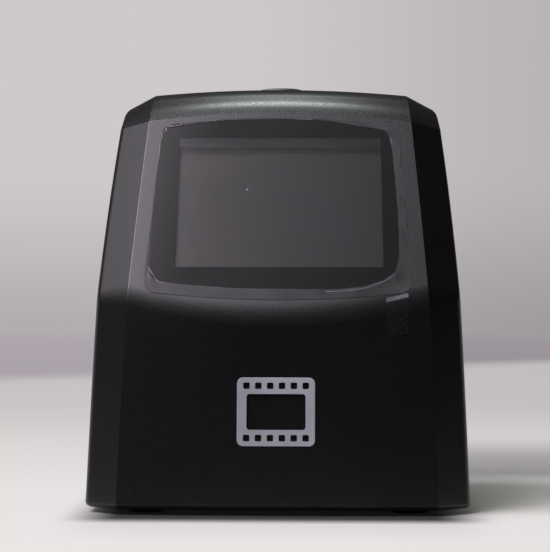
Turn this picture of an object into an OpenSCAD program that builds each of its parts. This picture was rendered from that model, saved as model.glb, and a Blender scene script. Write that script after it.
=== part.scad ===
// Desktop film and slide scanner with a fixed colour screen, top buttons and a sliding film tray.
// Millimetres. +Z is up, the screen faces -Y, and the origin is the middle of the footprint on the desk.

/* [Body] */
// Width of the body at the desk
base_w = 90.6; // [88:0.2:94]
// Depth of the body over its feet
base_d = 89; // [87:0.5:93]
// Width of the body at its shoulders, just under the top
shoulder_w = 79.6; // [77:0.2:82]
// How far each side wall bows out of a straight line
side_bow = 0.83; // [0:0.01:1.2]
// Width of the front face between its chamfers, at the desk
face_w = 74.8; // [72:0.2:77]
// Width of the top face between its chamfers
brow_w = 64; // [62:0.2:66]
// How far the lower front face bulges forward in the middle
face_bulge = 1.2; // [0.4:0.1:1.6]
// Height of the top where it crosses the middle of the body, along its side edges
top_z = 102.7; // [101:0.1:105]
// Rise of the middle of the top over its side edges
top_crown = 1.45; // [0.6:0.05:1.8]
// Wall thickness of both shells
shell_t = 2.2; // [1.9:0.1:2.4]
// Depth of the rear cover, from its seam to the foot of the rear wall
cover_d = 9.5; // [8.5:0.25:10]

/* [Front] */
// Lean of the lower front face, in degrees from upright
front_lean = 5; // [4:0.5:6]
// Tilt of the screen face, in degrees from upright
screen_tilt = 30.5; // [29.5:0.5:31.5]
// Height of the screen face, measured upright from the bend to the brow line
screen_rise = 45.2; // [44.8:0.2:46]
// Height of the top over the brow line
brow_drop = 8.5; // [8.1:0.1:9.1]
// Radius of the bend
bend_r = 14; // [10:1:16]

/* [Screen] */
// Width of the clear window
window_w = 49.6; // [48:0.2:50.6]
// Height of the clear window
window_h = 37.6; // [36:0.2:38]
// Distance from the bend up the screen face to the middle of the window
window_s = 28.9; // [28.5:0.1:29.2]
// Width of the screen lens at its foot
lens_w_low = 63; // [62:0.2:64]
// Width of the screen lens at its head
lens_w_high = 58.8; // [58:0.2:60]
// Thickness of the screen lens
lens_t = 1.2; // [1:0.1:1.3]
// Width of the display module
lcd_w = 60.2; // [59:0.2:60.6]
// Height of the display module
lcd_h = 42.6; // [42:0.2:43]

/* [Film tray] */
// Length of the film tray
tray_l = 86.6; // [84:0.2:87]
// Width of the film tray, front to back
tray_w = 56.8; // [55:0.2:57.4]
// Height of the film tray
tray_t = 8; // [7:0.2:8.4]
// Distance of the optical axis behind the middle of the body
axis_y = 1; // [0:0.5:1.5]
// Height of the underside of the tray
tray_z = 23; // [22.6:0.2:23.6]
// Width of the film strip the tray takes
film_w = 35.4; // [35:0.1:36]
// Length of one picture on the film
frame_l = 37; // [36:0.5:38]
// Width of one picture on the film
frame_w = 25; // [24:0.5:26]

/* [Buttons] */
// Diameter of the capture button
capture_d = 11.4; // [9.6:0.2:12]
// Height of the capture button over the top face
capture_proud = 1; // [0.8:0.1:2.4]
// Length of a small button
key_l = 8; // [7:0.2:8.6]
// Width of a small button
key_w = 4.4; // [4:0.2:5]
// Height of a small button over the top face
key_proud = 0.45; // [0.3:0.05:0.7]
// Distance of the outer small buttons from the middle
key_x = 24; // [23.5:0.25:24.5]
// Distance between neighbouring small buttons
key_pitch = 10.8; // [10.4:0.2:11]
// Travel of every button
press_travel = 0.4; // [0.2:0.05:0.5]

/* [Base] */
// Height of the rubber feet under the body
foot_h = 1.2; // [1:0.1:1.6]
// Radius of a rubber foot
foot_r = 4.5; // [4:0.25:5]
// Thickness of the base plate
base_t = 2; // [1.6:0.1:2.2]

/* [Ports] */
// Radius of the video jack's bore
av_bore_r = 1.8; // [1.7:0.05:1.9]
// Depth of the video jack's bore
av_bore_l = 12; // [11:0.25:12.5]

/* [Hidden] */
$fn = 48;

// ---- outline of the body ----
brow_tilt = 52;          // tilt of the brow between the screen face and the top
top_rise = 1;            // slope of the top, up towards the rear
rear_lean = 2.2;         // lean of the rear wall
brow_r = 9;              // radius between the brow and the top
rear_r = 5;              // radius between the top and the rear wall
brow_arch = 2.6;         // how far the brow line arches up the screen face
face_bow = 0.6;          // bow of the edges beside the front face
chamfer = [6.2, 5.5, 4.6, 4, 6];   // inset of the side outline from each face, front to rear
columns = [-1, -2 / 3, -1 / 3, 0, 1 / 3, 2 / 3, 1];
fit = 0.25;              // clearance between pieces that only sit side by side
touch = 0.05;            // gap between faces that are glued or clamped together
board_t = 1.2;           // thickness of every circuit board
pilot_r = 1.05;          // radius of every screw hole in plastic
screw_r = 1;             // radius of every screw shank
head_r = 1.9;            // radius of every screw head
head_t = 1.1;            // thickness of every screw head

shoulder_z = top_z - chamfer[3];
brow_z = top_z - brow_drop;          // brow line, which ends the screen face
bend_z = brow_z - screen_rise;       // bend between the lower front face and the screen face
seam_y = base_d / 2 - cover_d;       // plane where the rear cover meets the main housing
floor_z = foot_h;                    // underside of the body
front_y = -base_d / 2 + face_bulge - foot_h * tan(front_lean);   // edge of the front face, desk level
back_y = base_d / 2 + foot_h * tan(rear_lean);                   // rear face, desk level
bend_y = front_y + bend_z * tan(front_lean);
brow_y = bend_y + (brow_z - bend_z) * tan(screen_tilt);

function dir(a) = [sin(a), cos(a)];
function inward(a) = [cos(a), -sin(a)];
function meet(p, a, q, b) = p + dir(a) * cross(q - p, dir(b)) / cross(dir(a), dir(b));
function share(a, b, t) = a + (b - a) * t;

// half width of the body and of its front face at height z
function side_x(z) = let (t = z / shoulder_z)
    share(base_w, shoulder_w, t) / 2 + side_bow * 4 * t * (1 - t) * (0.5 + t);
function edge_x(z) = let (t = z / top_z)
    share(face_w, brow_w, t) / 2 + face_bow * 4 * t * (1 - t);

// the faces of the side profile, front to rear: a point and an angle from upright
faces = [
    [[front_y, 0], front_lean],
    [[bend_y, bend_z], screen_tilt],
    [[brow_y, brow_z], brow_tilt],
    [[0, top_z], 90 - top_rise],
    [[back_y, 0], 180 - rear_lean]
];
function face_point(i, d, k) = faces[i][0] + inward(faces[i][1]) * (d + k * chamfer[i]);
function vertex(i, d, k) =
    meet(face_point(i, d, k), faces[i][1], face_point(i + 1, d, k), faces[i + 1][1]);
function arc(p, a, b, r, n) = let (c = p - dir(a) * r * tan((b - a) / 2) + inward(a) * r)
    [for (i = [0:n]) c - inward(share(a, b, i / n)) * r];
function rounded(i, d, k, r, n) = let (cut = d + k * (chamfer[i] + chamfer[i + 1]) / 2)
    arc(vertex(i, d, k), faces[i][1], faces[i + 1][1], max(r - cut, 0.6), n);
function at_height(i, d, k, z) = let (p = face_point(i, d, k), a = faces[i][1])
    [p[0] + (z - p[1]) * tan(a), z];

// side profile inset by d, along the front face's edge (k = 0) or along the side wall (k = 1)
mid_front = bend_z / 2;              // row halfway up the lower front face
mid_screen = share(bend_z, brow_z, 0.5);   // row halfway up the screen face
function front_rows(d, k, z_low) = concat(
    [at_height(0, d, k, z_low), at_height(0, d, k, mid_front)],
    rounded(0, d, k, bend_r, 3),
    [at_height(1, d, k, mid_screen), vertex(1, d, k)]
);
function top_rows(d, k) = concat(rounded(2, d, k, brow_r, 4), rounded(3, d, k, rear_r, 5));
// the rear wall's rows lie at the heights of the front's, so that strips can join them
function rear_rows(d, k, z_low) = let (front = front_rows(d, 1, z_low))
    [for (i = [len(front) - 1:-1:0]) at_height(4, d, k, front[i][1])];
function profile(d, k, z_low) = concat(front_rows(d, k, z_low), top_rows(d, k), rear_rows(d, k, z_low));
// how far the middle of each row of the profile stands off its edges
bend_shift = -dir(screen_tilt) * face_bulge / sin(screen_tilt - front_lean);
arch_shift = dir(screen_tilt) * brow_arch;
crown_shift = [0, top_crown];
level = [0, 0];
shifts = concat(
    [for (i = [0:1]) [-face_bulge, 0]],
    [for (i = [0:3]) bend_shift],
    [level, arch_shift],
    [for (i = [0:4]) share(arch_shift, crown_shift, 0.6 + 0.1 * i)],
    [for (i = [0:5]) crown_shift],
    [for (i = [0:7]) level]
);

// the body inset by d: rows of points that run over the front, the top and the rear from the left side
// wall to the right one, closed by strips across each side wall and across the underside
module solid_body(d, z_low) {
    edge = profile(d, 0, z_low);
    side = profile(d, 1, z_low);
    rows = len(edge);
    cols = len(columns) + 2;
    last = rows - 1;
    strips = len(front_rows(d, 0, z_low)) - 1;
    function row(i) = let (e = edge[i], w = side[i], ex = edge_x(e[1]) - 0.45 * d, wx = side_x(w[1]) - d)
        concat(
            [[-wx, w[0], w[1]]],
            [for (c = columns) let (p = e + shifts[i] * (1 - c * c)) [c * ex, p[0], p[1]]],
            [[wx, w[0], w[1]]]);
    points = [for (i = [0:last]) each row(i)];
    function id(i, j) = i * cols + j;
    function quad(a, b, c, d) = [[a, b, c], [a, c, d]];
    skin = [for (i = [0:last - 1], j = [0:cols - 2]) each
        quad(id(i, j), id(i + 1, j), id(i + 1, j + 1), id(i, j + 1))];
    under = [for (j = [0:cols - 2]) each quad(id(last, j), id(0, j), id(0, j + 1), id(last, j + 1))];
    left = concat(
        [for (i = [0:strips - 1]) each quad(id(i, 0), id(last - i, 0), id(last - i - 1, 0), id(i + 1, 0))],
        [for (i = [strips:last - strips - 2]) [id(i, 0), id(last - strips, 0), id(i + 1, 0)]]);
    right = [for (t = left) [t[2], t[1], t[0]] + [1, 1, 1] * (cols - 1)];
    polyhedron(points, concat(skin, under, left, right));
}

// ---- shared frames and shapes ----
module on_screen() {
    translate([0, bend_y, bend_z]) rotate([90 - screen_tilt, 0, 0]) children();
}
module on_face() {
    translate([0, front_y - face_bulge, 0]) rotate([90 - front_lean, 0, 0]) children();
}
module on_top() {
    translate([0, 0, top_z]) rotate([top_rise, 0, 0]) children();
}
module mirrored() {
    children();
    mirror([1, 0, 0]) children();
}
// a box given by its middle in X and Y, its size and its lowest Z
module slab(x, y, w, d, z, h) {
    translate([x - w / 2, y - d / 2, z]) cube([w, d, h]);
}
module rod(x, y, z, r, h) {
    translate([x, y, z]) cylinder(r = r, h = h);
}
function round_rect(w, h, r, n = 6) = [
    for (q = [0:3], i = [0:n])
        let (a = 90 * (q + i / n), sx = (q == 0 || q == 3) ? 1 : -1, sy = q < 2 ? 1 : -1)
            [sx * (w / 2 - r) + r * cos(a), sy * (h / 2 - r) + r * sin(a)]];
module pill(w, h, z, t) {
    translate([0, 0, z]) linear_extrude(t) polygon(round_rect(w, h, min(w, h) / 2 - 0.01, 10));
}
// a flat ribbon w wide that follows points in the YZ plane
module ribbon(path, w, t, x) {
    n = len(path);
    function along(i) = let (v = path[min(i + 1, n - 1)] - path[max(i - 1, 0)]) v / norm(v);
    function edge(i, s) = path[i] + [-along(i)[1], along(i)[0]] * s * t / 2;
    translate([x + w / 2, 0, 0]) rotate([90, 0, -90])
        linear_extrude(w)
            polygon([for (p = concat([for (i = [0:n - 1]) edge(i, 1)],
                                     [for (i = [n - 1:-1:0]) edge(i, -1)])) [-p[0], p[1]]]);
}
// a screw with its head at the origin and its shank down -Z
module screw(length) {
    difference() {
        cylinder(r = head_r, h = head_t);
        for (a = [0, 90]) rotate(a) translate([-1.1, -0.25, head_t - 0.5]) cube([2.2, 0.5, 1]);
    }
    translate([0, 0, -length]) cylinder(r = screw_r, h = length + touch);
}

// ---- screen outline ----
lens_foot_s = 3;         // foot of the lens at its corners, up from the bend
lens_head_s = 51.7;      // head of the lens at its corners
lens_foot_sag = 1.8;     // how far the foot dips in the middle
lens_head_arch = 2.2;    // how far the head arches in the middle
lens_corner_r = 3.2;
function bowed(p, q, sag, n) = [for (i = [1:n - 1]) let (t = i / n)
    share(p, q, t) + [0, sag * 4 * t * (1 - t)]];
function quarter(c, r, a) = [for (i = [0:5]) c + r * [cos(a + 18 * i), sin(a + 18 * i)]];
function lens_outline(g) = let (
        r = lens_corner_r + g,
        fx = lens_w_low / 2 + g - r, hx = lens_w_high / 2 + g - r,
        fs = lens_foot_s - g + r, hs = lens_head_s + g - r,
        foot = [fx, fs - r], head = [hx, hs + r])
    concat(
        bowed([-foot[0], foot[1]], foot, -lens_foot_sag, 12),
        quarter([fx, fs], r, -90),
        quarter([hx, hs], r, 0),
        bowed(head, [-head[0], head[1]], lens_head_arch, 12),
        quarter([-hx, hs], r, 90),
        quarter([-fx, fs], r, 180));

mask_t = 0.15;
lens_bed = lens_t + mask_t + touch;            // depth of the lens pocket
window_margin = 1.2;                           // how far the wall's opening clears the window
gasket_t = 0.5;
glass_t = 1;
backlight_t = 1.5;
bracket_t = 1.2;
lcd_s = window_s - 0.2;                        // middle of the display module
glass_n = shell_t + gasket_t + touch;          // depth of the display's face
bracket_n = glass_n + glass_t + backlight_t + touch;
ear_x = 19;                                    // bracket ears and the bosses they screw to
ear_s = lcd_h / 2 + 3;
ear_r = 2.2;
badge_w = 18.1;
badge_x = -0.3;
badge_h = 15.9;
badge_z = 24;
badge_bed = 0.35;
badge_proud = 0.08;

module lens_pocket() {
    on_screen() translate([0, 0, -lens_bed]) linear_extrude(lens_bed + 3) polygon(lens_outline(0.1));
    on_screen() slab(0, window_s, window_w + window_margin, window_h + window_margin,
        -shell_t - 1, shell_t + 1);
}

// ---- tray slot ----
slot_gap = 0.8;          // clearance between the tray and the slot in the walls
finger_r = 8;
tray_mid_z = tray_z + tray_t / 2;
module tray_slot() {
    for (side = [-1, 1])
        translate([side * base_w / 2, axis_y, tray_mid_z]) rotate([90, 0, 90])
            linear_extrude(4 * shell_t + 8, center = true)
                polygon(round_rect(tray_w + 2 * slot_gap, tray_t + 2 * slot_gap, 1.5));
    for (side = [-1, 1])
        translate([side * base_w / 2, axis_y, tray_mid_z]) rotate([0, 90, 0])
            cylinder(r = finger_r, h = 4 * shell_t + 8, center = true);
}

// ---- buttons ----
top_front = vertex(2, 0, 0)[0];      // front and rear edge of the top face
top_rear = vertex(3, 0, 0)[0];
capture_y = share(top_front, top_rear, 0.3);
key_row_y = capture_y + 1;
power_r = key_w / 2 + 1;
power_y = share(top_front, top_rear, 0.68);
led_y = (capture_y + capture_d / 2 + power_y - power_r) / 2;
led_r = 0.9;
hole_gap = 0.25;
flange_drop = 0.45;      // gap from the wall down to a button's flange
flange_t = 1;
flange_w = 1.1;
stem_r = 1.1;
switch_h = 3.5;
switch_w = 6;
stem_in = 0.6;           // how far a stem reaches into its switch
switch_well = stem_in + press_travel + 0.6;
board_drop = 8.6;        // depth of the button board's upper face under the top
keys = [-key_x, -key_x + key_pitch, key_x - key_pitch, key_x];
function crown_at(x) = top_crown * (1 - pow(x / edge_x(top_z), 2));
switch_spots = concat([[0, capture_y], [0, power_y]], [for (x = keys) [x, key_row_y]]);
board_y0 = capture_y - 6.5;
board_y1 = power_y + 5;
board_w = 62;
board_post_y = power_y - 5;
board_post = [for (s = [-1, 1]) [s * (board_w / 2 - 3.5), board_post_y]];

module button_holes() {
    on_top() {
        rod(0, capture_y, -shell_t - 3, capture_d / 2 + hole_gap, shell_t + 8);
        for (x = keys) translate([x, key_row_y, 0])
            pill(key_l + 2 * hole_gap, key_w + 2 * hole_gap, -shell_t - 3, shell_t + 8);
        rod(0, power_y, -shell_t - 3, power_r + hole_gap, shell_t + 8);
        rod(0, led_y, -shell_t - 3, led_r + 0.05, shell_t + 8);
    }
}
// the part of a button under its cap: flange, stem and the tip in the switch
module under_button(x, w, h) {
    flange = crown_at(x) - shell_t - flange_drop - flange_t;
    translate([0, 0, flange]) linear_extrude(flange_t)
        polygon(round_rect(w + 2 * flange_w, h + 2 * flange_w, min(w, h) / 2 + flange_w - 0.01, 10));
    translate([0, 0, -board_drop + switch_h - stem_in])
        cylinder(r = stem_r, h = flange + board_drop - switch_h + stem_in + touch);
}
module key(x, y) {
    on_top() translate([x, y, 0]) {
        low = crown_at(x) - shell_t - flange_drop - touch;
        pill(key_l, key_w, low, crown_at(x) + key_proud - low);
        under_button(x, key_l, key_w);
    }
}
module round_key(y, r, proud, rim) {
    on_top() translate([0, y, 0]) {
        low = top_crown - shell_t - flange_drop - touch;
        high = top_crown + proud;
        rotate_extrude() polygon([
            [0, low], [r, low], [r, high - rim[1]], [r - rim[0], high], [0, high]]);
        under_button(0, 2 * r, 2 * r);
    }
}
module capture_button() { color("silver") round_key(capture_y, capture_d / 2, capture_proud, [1.3, 0.5]); }
module power_button() { color("#1b1c1e") round_key(power_y, power_r, key_proud, [0.3, 0.3]); }
module home_button() { color("#1b1c1e") key(keys[0], key_row_y); }
module flip_button() { color("#1b1c1e") key(keys[1], key_row_y); }
module minus_button() { color("#1b1c1e") key(keys[2], key_row_y); }
module plus_button() { color("#1b1c1e") key(keys[3], key_row_y); }

// ---- base bosses ----
base_top = floor_z + base_t;
boss_r = 3.4;
boss_h = 15;
boss_in = 2.9;           // distance of a boss's middle from the inside of the side wall
boss_y = [-22, 20];
boss_x = side_x(base_top) - shell_t - boss_in;
cover_boss = [boss_x - 3.07, seam_y + 2.8];
cover_boss_r = 3;
rib_t = 1.6;             // rib that ties a rear boss to the rear wall
board_post_r = 2.4;

// ---- shells ----
module main_housing() {
    color("#17181a") {
        difference() {
            union() {
                difference() {
                    solid_body(0, floor_z);
                    solid_body(shell_t, floor_z - 5);
                    translate([-base_w, seam_y, -5]) cube([2 * base_w, base_d, 2 * top_z]);
                }
                for (y = boss_y) mirrored() rod(boss_x, y, base_top + touch, boss_r, boss_h);
                on_screen() for (s = [-ear_s, ear_s]) mirrored()
                    translate([ear_x, lcd_s + s, -bracket_n])
                        cylinder(r = ear_r, h = bracket_n - shell_t + 0.3);
                on_top() for (p = board_post) translate([p[0], p[1], -board_drop])
                    cylinder(r = board_post_r, h = board_drop - shell_t + crown_at(p[0]) + 0.2);
            }
            lens_pocket();
            tray_slot();
            button_holes();
            for (y = boss_y) mirrored() rod(boss_x, y, base_top - 1, pilot_r, boss_h - 2);
            on_screen() for (s = [-ear_s, ear_s]) mirrored()
                rod(ear_x, lcd_s + s, -bracket_n - 1, pilot_r, bracket_n - shell_t + 0.6);
            on_top() for (p = board_post)
                rod(p[0], p[1], -board_drop - 1, pilot_r, board_drop - shell_t + 0.5);
            on_face() slab(badge_x, badge_z, badge_w + 0.2, badge_h + 0.2, -badge_bed, 3);
        }
    }
}

// ---- boards and ports at the rear ----
io_z = 8;                                   // underside of the connector board
io_top = io_z + board_t;
light = [46, 33];                           // size of the lit panes
io_y = [axis_y + light[1] / 2 + 0.1, seam_y + 4.4];
io_x = [cover_boss_r + 0.6 - cover_boss[0], cover_boss[0] - cover_boss_r - 2.4];
io_post = [for (y = [io_y[0] + 3.4, io_y[1] - 3.4]) [io_x[1] - 3.6, y]];
usb = [7.7, 8.6, 3.9];                      // width, depth and height of each port's shell
av = [7, 10.6, 6.4];
card = [26, 21, 2.9];
av_x = io_x[1] - 15.6;
card_x = io_x[0] + card[0] / 2 + 0.4;
usb_x = (card_x + card[0] / 2 + av_x - av[0] / 2) / 2;
port_in = 0.6;                              // how far the ports stay inside the rear wall
nose_r = 3;
nose_l = 2;
function rear_y(z) = back_y - z * tan(rear_lean);
av_z = io_top + av[2] / 2;
port_y = rear_y(av_z) - port_in;
main_y = seam_y - 1;                        // front face of the main board
main_z = [bend_z - 9, brow_z - 8.2];
main_w = 56;
main_post = [for (z = [main_z[0] + 4, main_z[1] - 4]) [main_w / 2 - 4, z]];
plug_z = main_z[1] - 8;                     // row of plugs along the main board's head
lcd_plug = [main_w / 2 - 3.4, main_z[0] + 8];
plug_t = 1.6;
main_post_r = 2.6;

module port_openings() {
    translate([usb_x, 0, io_top + usb[2] / 2]) rotate([-90, 0, 0])
        linear_extrude(base_d) polygon(round_rect(usb[0] + 0.8, usb[2] + 0.8, 0.8));
    translate([card_x, 0, io_top + card[2] / 2]) rotate([-90, 0, 0])
        linear_extrude(base_d) polygon(round_rect(card[0] + 0.6, card[2] + 0.6, 0.6));
    translate([av_x, 0, av_z]) rotate([-90, 0, 0]) cylinder(r = nose_r + 0.3, h = base_d);
}
tab_x = 18;
tab = [9, 7, 1.2];
module rear_cover() {
    tab_z = faces[3][0][1] + seam_y * tan(top_rise) - shell_t - fit - 0.4 + crown_at(tab_x);
    color("#17181a") {
        difference() {
            union() {
                difference() {
                    solid_body(0, floor_z);
                    solid_body(shell_t, floor_z - 5);
                    translate([-base_w, seam_y - base_d, -5]) cube([2 * base_w, base_d, 2 * top_z]);
                }
                mirrored() rod(cover_boss[0], cover_boss[1], base_top + touch, cover_boss_r, boss_h);
                mirrored() translate([cover_boss[0] - rib_t / 2, cover_boss[1], base_top + touch])
                    cube([rib_t, rear_y(base_top + boss_h) - shell_t + 0.5 - cover_boss[1], boss_h]);
                for (p = main_post) mirrored()
                    translate([p[0], main_y + board_t, p[1]]) rotate([-90, 0, 0])
                        cylinder(r = main_post_r, h = rear_y(p[1]) - shell_t + 0.5 - main_y - board_t);
                mirrored() translate([tab_x - tab[0] / 2, seam_y - 4, tab_z - tab[2]])
                    cube([tab[0], tab[1], tab[2]]);
                mirrored() translate([tab_x - tab[0] / 2, seam_y + 1, tab_z - tab[2]])
                    cube([tab[0], 2, tab[2] + 0.8]);
            }
            port_openings();
            mirrored() rod(cover_boss[0], cover_boss[1], base_top - 1, pilot_r, boss_h - 2);
            for (p = main_post) mirrored()
                translate([p[0], main_y, p[1]]) rotate([-90, 0, 0]) cylinder(r = pilot_r, h = 5);
        }
    }
}

// ---- base plate ----
post_r = 3;
deck_z = 20.4;
deck_t = 2.2;
post = [[30, -21], [30, 10.5]];
foot = [for (y = [11.5 - base_d / 2, base_d / 2 - 12.5]) [base_w / 2 - 14.3, y]];
foot_bed = 0.6;
led_z = base_top + 1;
standoff = [20, 13];
sink = 0.3;
base_holes = concat([for (y = boss_y) [boss_x, y]], [cover_boss]);
function base_outline(g) = let (z = floor_z,
        fe = at_height(0, g, 0, z)[0], fs = at_height(0, g, 1, z)[0],
        re = at_height(4, g, 0, z)[0], rs = at_height(4, g, 1, z)[0],
        cx = edge_x(z) - 0.45 * g, sx = side_x(z) - g)
    concat([for (c = columns) [c * cx, fe - face_bulge * (1 - c * c)]],
        [[sx, fs], [sx, rs], [cx, re], [-cx, re], [-sx, rs], [-sx, fs]]);

module base_plate() {
    color("#1c1d1f") difference() {
        union() {
            translate([0, 0, floor_z]) linear_extrude(base_t)
                polygon(base_outline(shell_t + fit));
            for (p = post) mirrored() rod(p[0], p[1], base_top - touch, post_r, deck_z - base_top);
            for (p = io_post) mirrored() rod(p[0], p[1], base_top - touch, 2.2, io_z - base_top);
            for (x = [-standoff[0], standoff[0]], y = [-standoff[1], standoff[1]])
                rod(x, axis_y + y, base_top - touch, 1.6, led_z - base_top);
        }
        for (p = base_holes) mirrored() {
            rod(p[0], p[1], floor_z - 1, screw_r + 0.25, base_t + 2);
            rod(p[0], p[1], floor_z - 1, head_r + 0.25, 1 + head_t + sink);
        }
        for (p = foot) mirrored() rod(p[0], p[1], floor_z - 1, foot_r + 0.1, 1 + foot_bed);
        for (p = post) mirrored() rod(p[0], p[1], deck_z - 8, pilot_r, 10);
        for (p = io_post) rod(p[0], p[1], base_top + 0.6, pilot_r, io_z);
        for (i = [-3:3]) slab(6 * i, foot[0][1] + 3, 1.8, 12, floor_z - 1, base_t + 2);
    }
}
module rubber_feet() {
    color("#0d0d0e") for (p = foot) mirrored() rod(p[0], p[1], 0, foot_r, floor_z + foot_bed);
}
module base_screws() {
    color("gray") for (p = base_holes) mirrored()
        translate([p[0], p[1], floor_z + head_t + sink]) rotate([180, 0, 0]) screw(8);
}

// ---- screen stack ----
module screen_lens() {
    color("#30343a", 0.4) on_screen()
        translate([0, 0, -lens_t]) linear_extrude(lens_t) polygon(lens_outline(0));
}
module lens_mask() {
    color("black") on_screen() difference() {
        translate([0, 0, -lens_t - mask_t]) linear_extrude(mask_t) polygon(lens_outline(-0.1));
        slab(0, window_s, window_w, window_h, -lens_t - 1, 2);
    }
}
film_t = 0.12;
film_tab_x = [25.3, 30.5];
film_tab_low = bend_z - 7;   // height of the free end of the film's pull tab
module screen_film() {
    x_mid = (film_tab_x[0] + film_tab_x[1]) / 2;
    bulge = face_bulge * (1 - pow(x_mid / edge_x(bend_z), 2));
    p0 = faces[1][0] + dir(screen_tilt) * 6;
    p1 = faces[1][0] + dir(screen_tilt) * 1.2 - inward(screen_tilt) * film_t;
    p2 = [front_y + (bend_z - 1.4) * tan(front_lean) - bulge - 0.7, bend_z - 1.4];
    p3 = [front_y + film_tab_low * tan(front_lean) - bulge - 0.5, film_tab_low];
    out = [-cos(screen_tilt) * film_t, sin(screen_tilt) * film_t];
    color("white", 0.3) {
        on_screen() linear_extrude(film_t) polygon(lens_outline(-0.7));
        translate([film_tab_x[1], 0, 0]) rotate([90, 0, -90])
            linear_extrude(film_tab_x[1] - film_tab_x[0])
                polygon([for (p = [p0, p1, p2, p3, p3 + [-film_t, 0], p2 + [-film_t, 0.05],
                    p1 + out, p0 + out]) [-p[0], p[1]]]);
    }
}
module screen_gasket() {
    color("#222222") on_screen() difference() {
        slab(0, lcd_s, lcd_w - 1, lcd_h - 1, -shell_t - gasket_t, gasket_t);
        slab(0, window_s, window_w + 2, window_h + 1, -shell_t - 1, 2);
    }
}
module lcd_glass() {
    color("#3c3c40") on_screen()
        slab(0, lcd_s, lcd_w - 2.4, lcd_h - 2, -glass_n - glass_t, glass_t);
}
module lcd_backlight() {
    color("lightgray") on_screen()
        slab(0, lcd_s, lcd_w, lcd_h, -glass_n - glass_t - backlight_t, backlight_t);
}
module lcd_bracket() {
    color("gray") on_screen() difference() {
        union() {
            slab(0, lcd_s, lcd_w, lcd_h, -bracket_n - bracket_t, bracket_t);
            for (s = [-1, 1]) mirrored()
                slab(ear_x, lcd_s + s * (ear_s - 1), 2 * ear_r, 2 * ear_r + 2,
                    -bracket_n - bracket_t, bracket_t);
        }
        for (s = [-ear_s, ear_s]) mirrored()
            rod(ear_x, lcd_s + s, -bracket_n - bracket_t - 1, screw_r + 0.2, bracket_t + 2);
        for (x = [-15, 0, 15]) slab(x, lcd_s, 8, lcd_h / 2, -bracket_n - bracket_t - 1, bracket_t + 2);
    }
}
module lcd_screws() {
    color("silver") on_screen() for (s = [-ear_s, ear_s]) mirrored()
        translate([ear_x, lcd_s + s, -bracket_n - bracket_t]) rotate([180, 0, 0]) screw(3.2);
}
flex_t = 0.3;
module lcd_flex() {
    start = faces[1][0] + dir(screen_tilt) * (lcd_s - lcd_h / 2 - touch)
        + inward(screen_tilt) * (glass_n + glass_t + backlight_t / 2);
    run_z = max(start[1] - 8.2, shroud_z0 + shroud_flange + 0.6);
    color("#b8862b") ribbon([
        start, start - dir(screen_tilt) * 3, [start[0] + 5, run_z + 1.9], [axis_y - 13, run_z + 0.4],
        [axis_y + 5, run_z], [axis_y + 21, run_z + 0.8], [main_y - 4.6, lcd_plug[1] - 0.1],
        [main_y - plug_t - 0.1, lcd_plug[1]]], 5.6, flex_t, 25);
}
module front_badge() {
    hole = 1.5;
    color("#8d9098") on_face() translate([badge_x, 0, 0]) difference() {
        translate([0, badge_z, -badge_bed]) linear_extrude(badge_bed + badge_proud)
            polygon(round_rect(badge_w, badge_h, 1.4));
        for (i = [-2.5:2.5], s = [-1, 1])
            slab(i * 2.75, badge_z + s * (badge_h / 2 - 1.9), hole, hole, -badge_bed - 1, 3);
        slab(0, badge_z, badge_w - 4.4, badge_h - 7.6, -badge_bed - 1, 3);
    }
}

// ---- button electronics ----
module button_board() {
    color("#14532d") on_top() difference() {
        slab(0, (board_y0 + board_y1) / 2, board_w, board_y1 - board_y0, -board_drop - board_t, board_t);
        for (p = board_post) rod(p[0], p[1], -board_drop - 3, screw_r + 0.2, 5);
    }
}
module button_board_screws() {
    color("silver") on_top() for (p = board_post)
        translate([p[0], p[1], -board_drop - board_t]) rotate([180, 0, 0]) screw(4);
}
module button_switches() {
    color("#2a2a2d") on_top() for (p = switch_spots) difference() {
        slab(p[0], p[1], switch_w, switch_w, -board_drop, switch_h);
        rod(p[0], p[1], -board_drop + switch_h - switch_well, stem_r + 0.2, switch_well + 1);
    }
}
module status_led() {
    color("white", 0.6) on_top() rod(0, led_y, -board_drop, led_r, board_drop + top_crown + 0.15);
}

// ---- main board ----
module main_board() {
    color("#14532d") difference() {
        translate([-main_w / 2, main_y, main_z[0]]) cube([main_w, board_t, main_z[1] - main_z[0]]);
        for (p = main_post) mirrored() translate([p[0], main_y - 1, p[1]]) rotate([-90, 0, 0])
            cylinder(r = screw_r + 0.2, h = board_t + 2);
    }
}
// parts on the front of the main board: x, depth under the row of plugs, width, height, thickness
chips = [[0, 16, 14, 14, 1.3], [-14, 12, 9, 11, 1.1], [14, 10, 8, 6, 1], [15, 22, 4, 4, 2],
    [20, 22, 4, 4, 2], [-15, 24, 5, 4, 1.8], [0, 0, 12, 2.4, plug_t], [-16, 0, 12, 2.4, plug_t],
    [lcd_plug[0], plug_z - lcd_plug[1], 6.8, 2.4, plug_t]];
cap_h = 2.4;             // height of the capacitors
module main_board_parts() {
    color("#202124") {
        for (c = chips) translate([c[0] - c[2] / 2, main_y - c[4], plug_z - c[1] - c[3] / 2])
            cube([c[2], c[4] - touch / 5, c[3]]);
        for (x = [-18, -13]) translate([x, main_y - cap_h, main_z[0] + 4]) rotate([-90, 0, 0])
            cylinder(r = 2, h = cap_h - touch / 5);
    }
}
module main_board_screws() {
    color("silver") for (p = main_post) mirrored()
        translate([p[0], main_y, p[1]]) rotate([90, 0, 0]) screw(4);
}

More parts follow.
